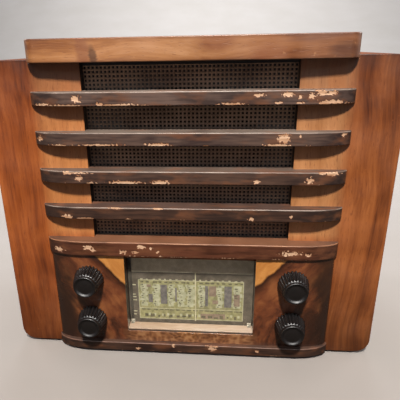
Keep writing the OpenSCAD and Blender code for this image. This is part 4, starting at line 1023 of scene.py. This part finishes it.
# The board behind the cloth and the frame round it are stained, so that the weave's holes are dark.
stained_plywood = veneer("plywood stained black", "#0f0c0b", "#171210", "#211a17", "X")
finish_node("speaker_baffle", stained_plywood)
finish_node("cloth_frame", stained_plywood)


# ---------------------------------------------------------------------------------------------
# Works. Valves, coils, capacitors and transformers on a plated steel chassis, and an energised
# loudspeaker on its board. They show only through the slots in the back and round the terminals.
# ---------------------------------------------------------------------------------------------
for node in ("capacitor_stator", "capacitor_rotor", "if_transformers", "smoothing_capacitors"):
    finish_node(node, rolled_aluminium)
# Painted iron and steel, dulled unevenly by age.
core_paint = metal("black enamel on laminated iron", "#1c1c1d", "#333334", 0.5, 0.2)
basket_paint = metal("grey enamel on pressed steel", "#4a4c4d", "#626465", 0.45, 0.2)
for node in ("mains_transformer", "output_transformer", "speaker_magnet"):
    finish_node(node, core_paint)
finish_node("speaker_basket", basket_paint)
finish_node("valve_bases", bakelite)
# Paper and paper board: matt, brown, cloudy.
cone_felt = ink("felted cone paper", "#2b2520", "#453c33")
for node in ("speaker_cone", "cone_surround"):
    finish_node(node, cone_felt)
resin_board = ink("resin-bonded paper board", "#4f331d", "#6f4a2b")
for node in ("waveband_switch", "terminal_panel"):
    finish_node(node, resin_board)
# Clear glass clouded unevenly by its silvery film.
blown_glass, tree = new_material("thin blown glass with a getter film")
place = place_in_mm(tree)
film = add(tree, "ShaderNodeTexNoise", {"Vector": place, "Scale": 1 / 18, "Detail": 2.0}, out="Fac")
film = add(tree, "ShaderNodeMapRange", {"Value": film, "From Min": 0.3, "From Max": 0.7,
                                        "To Min": 0.15, "To Max": 0.5})
show(tree, add(tree, "ShaderNodeBsdfPrincipled", {
    "Base Color": linear("#9aa3a8"), "Roughness": 0.05, "Alpha": film, "IOR": 1.5}))
for node in ("valve_bulbs", "dial_lamps"):
    finish_node(node, blown_glass)


# ---------------------------------------------------------------------------------------------
# Back, feet and fixings. A pressed fibre board with air slots, screwed to plywood battens. A
# rubber grommet for the mains lead, and rubber feet and steel bolts under the bottom board.
# ---------------------------------------------------------------------------------------------
# Matt brown board with a hairy surface and the clouding of old damp.
fibre_board, tree = new_material("pressed wood-fibre board")
place = place_in_mm(tree)
flock = add(tree, "ShaderNodeTexNoise", {"Vector": place, "Scale": 1 / 1.3, "Detail": 6.0}, out="Fac")
stain = add(tree, "ShaderNodeTexNoise", {"Vector": place, "Scale": 1 / 60, "Detail": 4.0}, out="Fac")
tone = add(tree, "ShaderNodeMath", {0: flock, 1: stain}, operation="ADD")
tone = add(tree, "ShaderNodeMath", {0: tone, 1: 0.5}, operation="MULTIPLY")
colour = add(tree, "ShaderNodeValToRGB", {"Fac": tone}, stops=[(0.36, "#4a311f"), (0.64, "#7a5537")])
bump = add(tree, "ShaderNodeBump", {"Height": flock, "Strength": 0.5, "Distance": 0.0002})
show(tree, add(tree, "ShaderNodeBsdfPrincipled", {"Base Color": colour, "Roughness": 0.82, "Normal": bump}))
eased_copy("back_cover", "slotted_back", 0.25, fibre_board)

# Rubber gone grey and dull with a bloom of age.
rubber, tree = new_material("perished black rubber")
place = place_in_mm(tree)
bloom = add(tree, "ShaderNodeTexNoise", {"Vector": place, "Scale": 1 / 4, "Detail": 5.0}, out="Fac")
colour = add(tree, "ShaderNodeValToRGB", {"Fac": bloom}, stops=[(0.35, "#1b1918"), (0.7, "#37332f")])
bump = add(tree, "ShaderNodeBump", {"Height": bloom, "Strength": 0.3, "Distance": 0.0002})
show(tree, add(tree, "ShaderNodeBsdfPrincipled", {"Base Color": colour, "Roughness": 0.75, "Normal": bump}))
for node in ("feet", "mains_grommet"):
    finish_node(node, rubber)
finish_node("back_battens", bare_plywood)
for node in ("back_screws", "chassis_bolts"):
    finish_node(node, bright_steel)
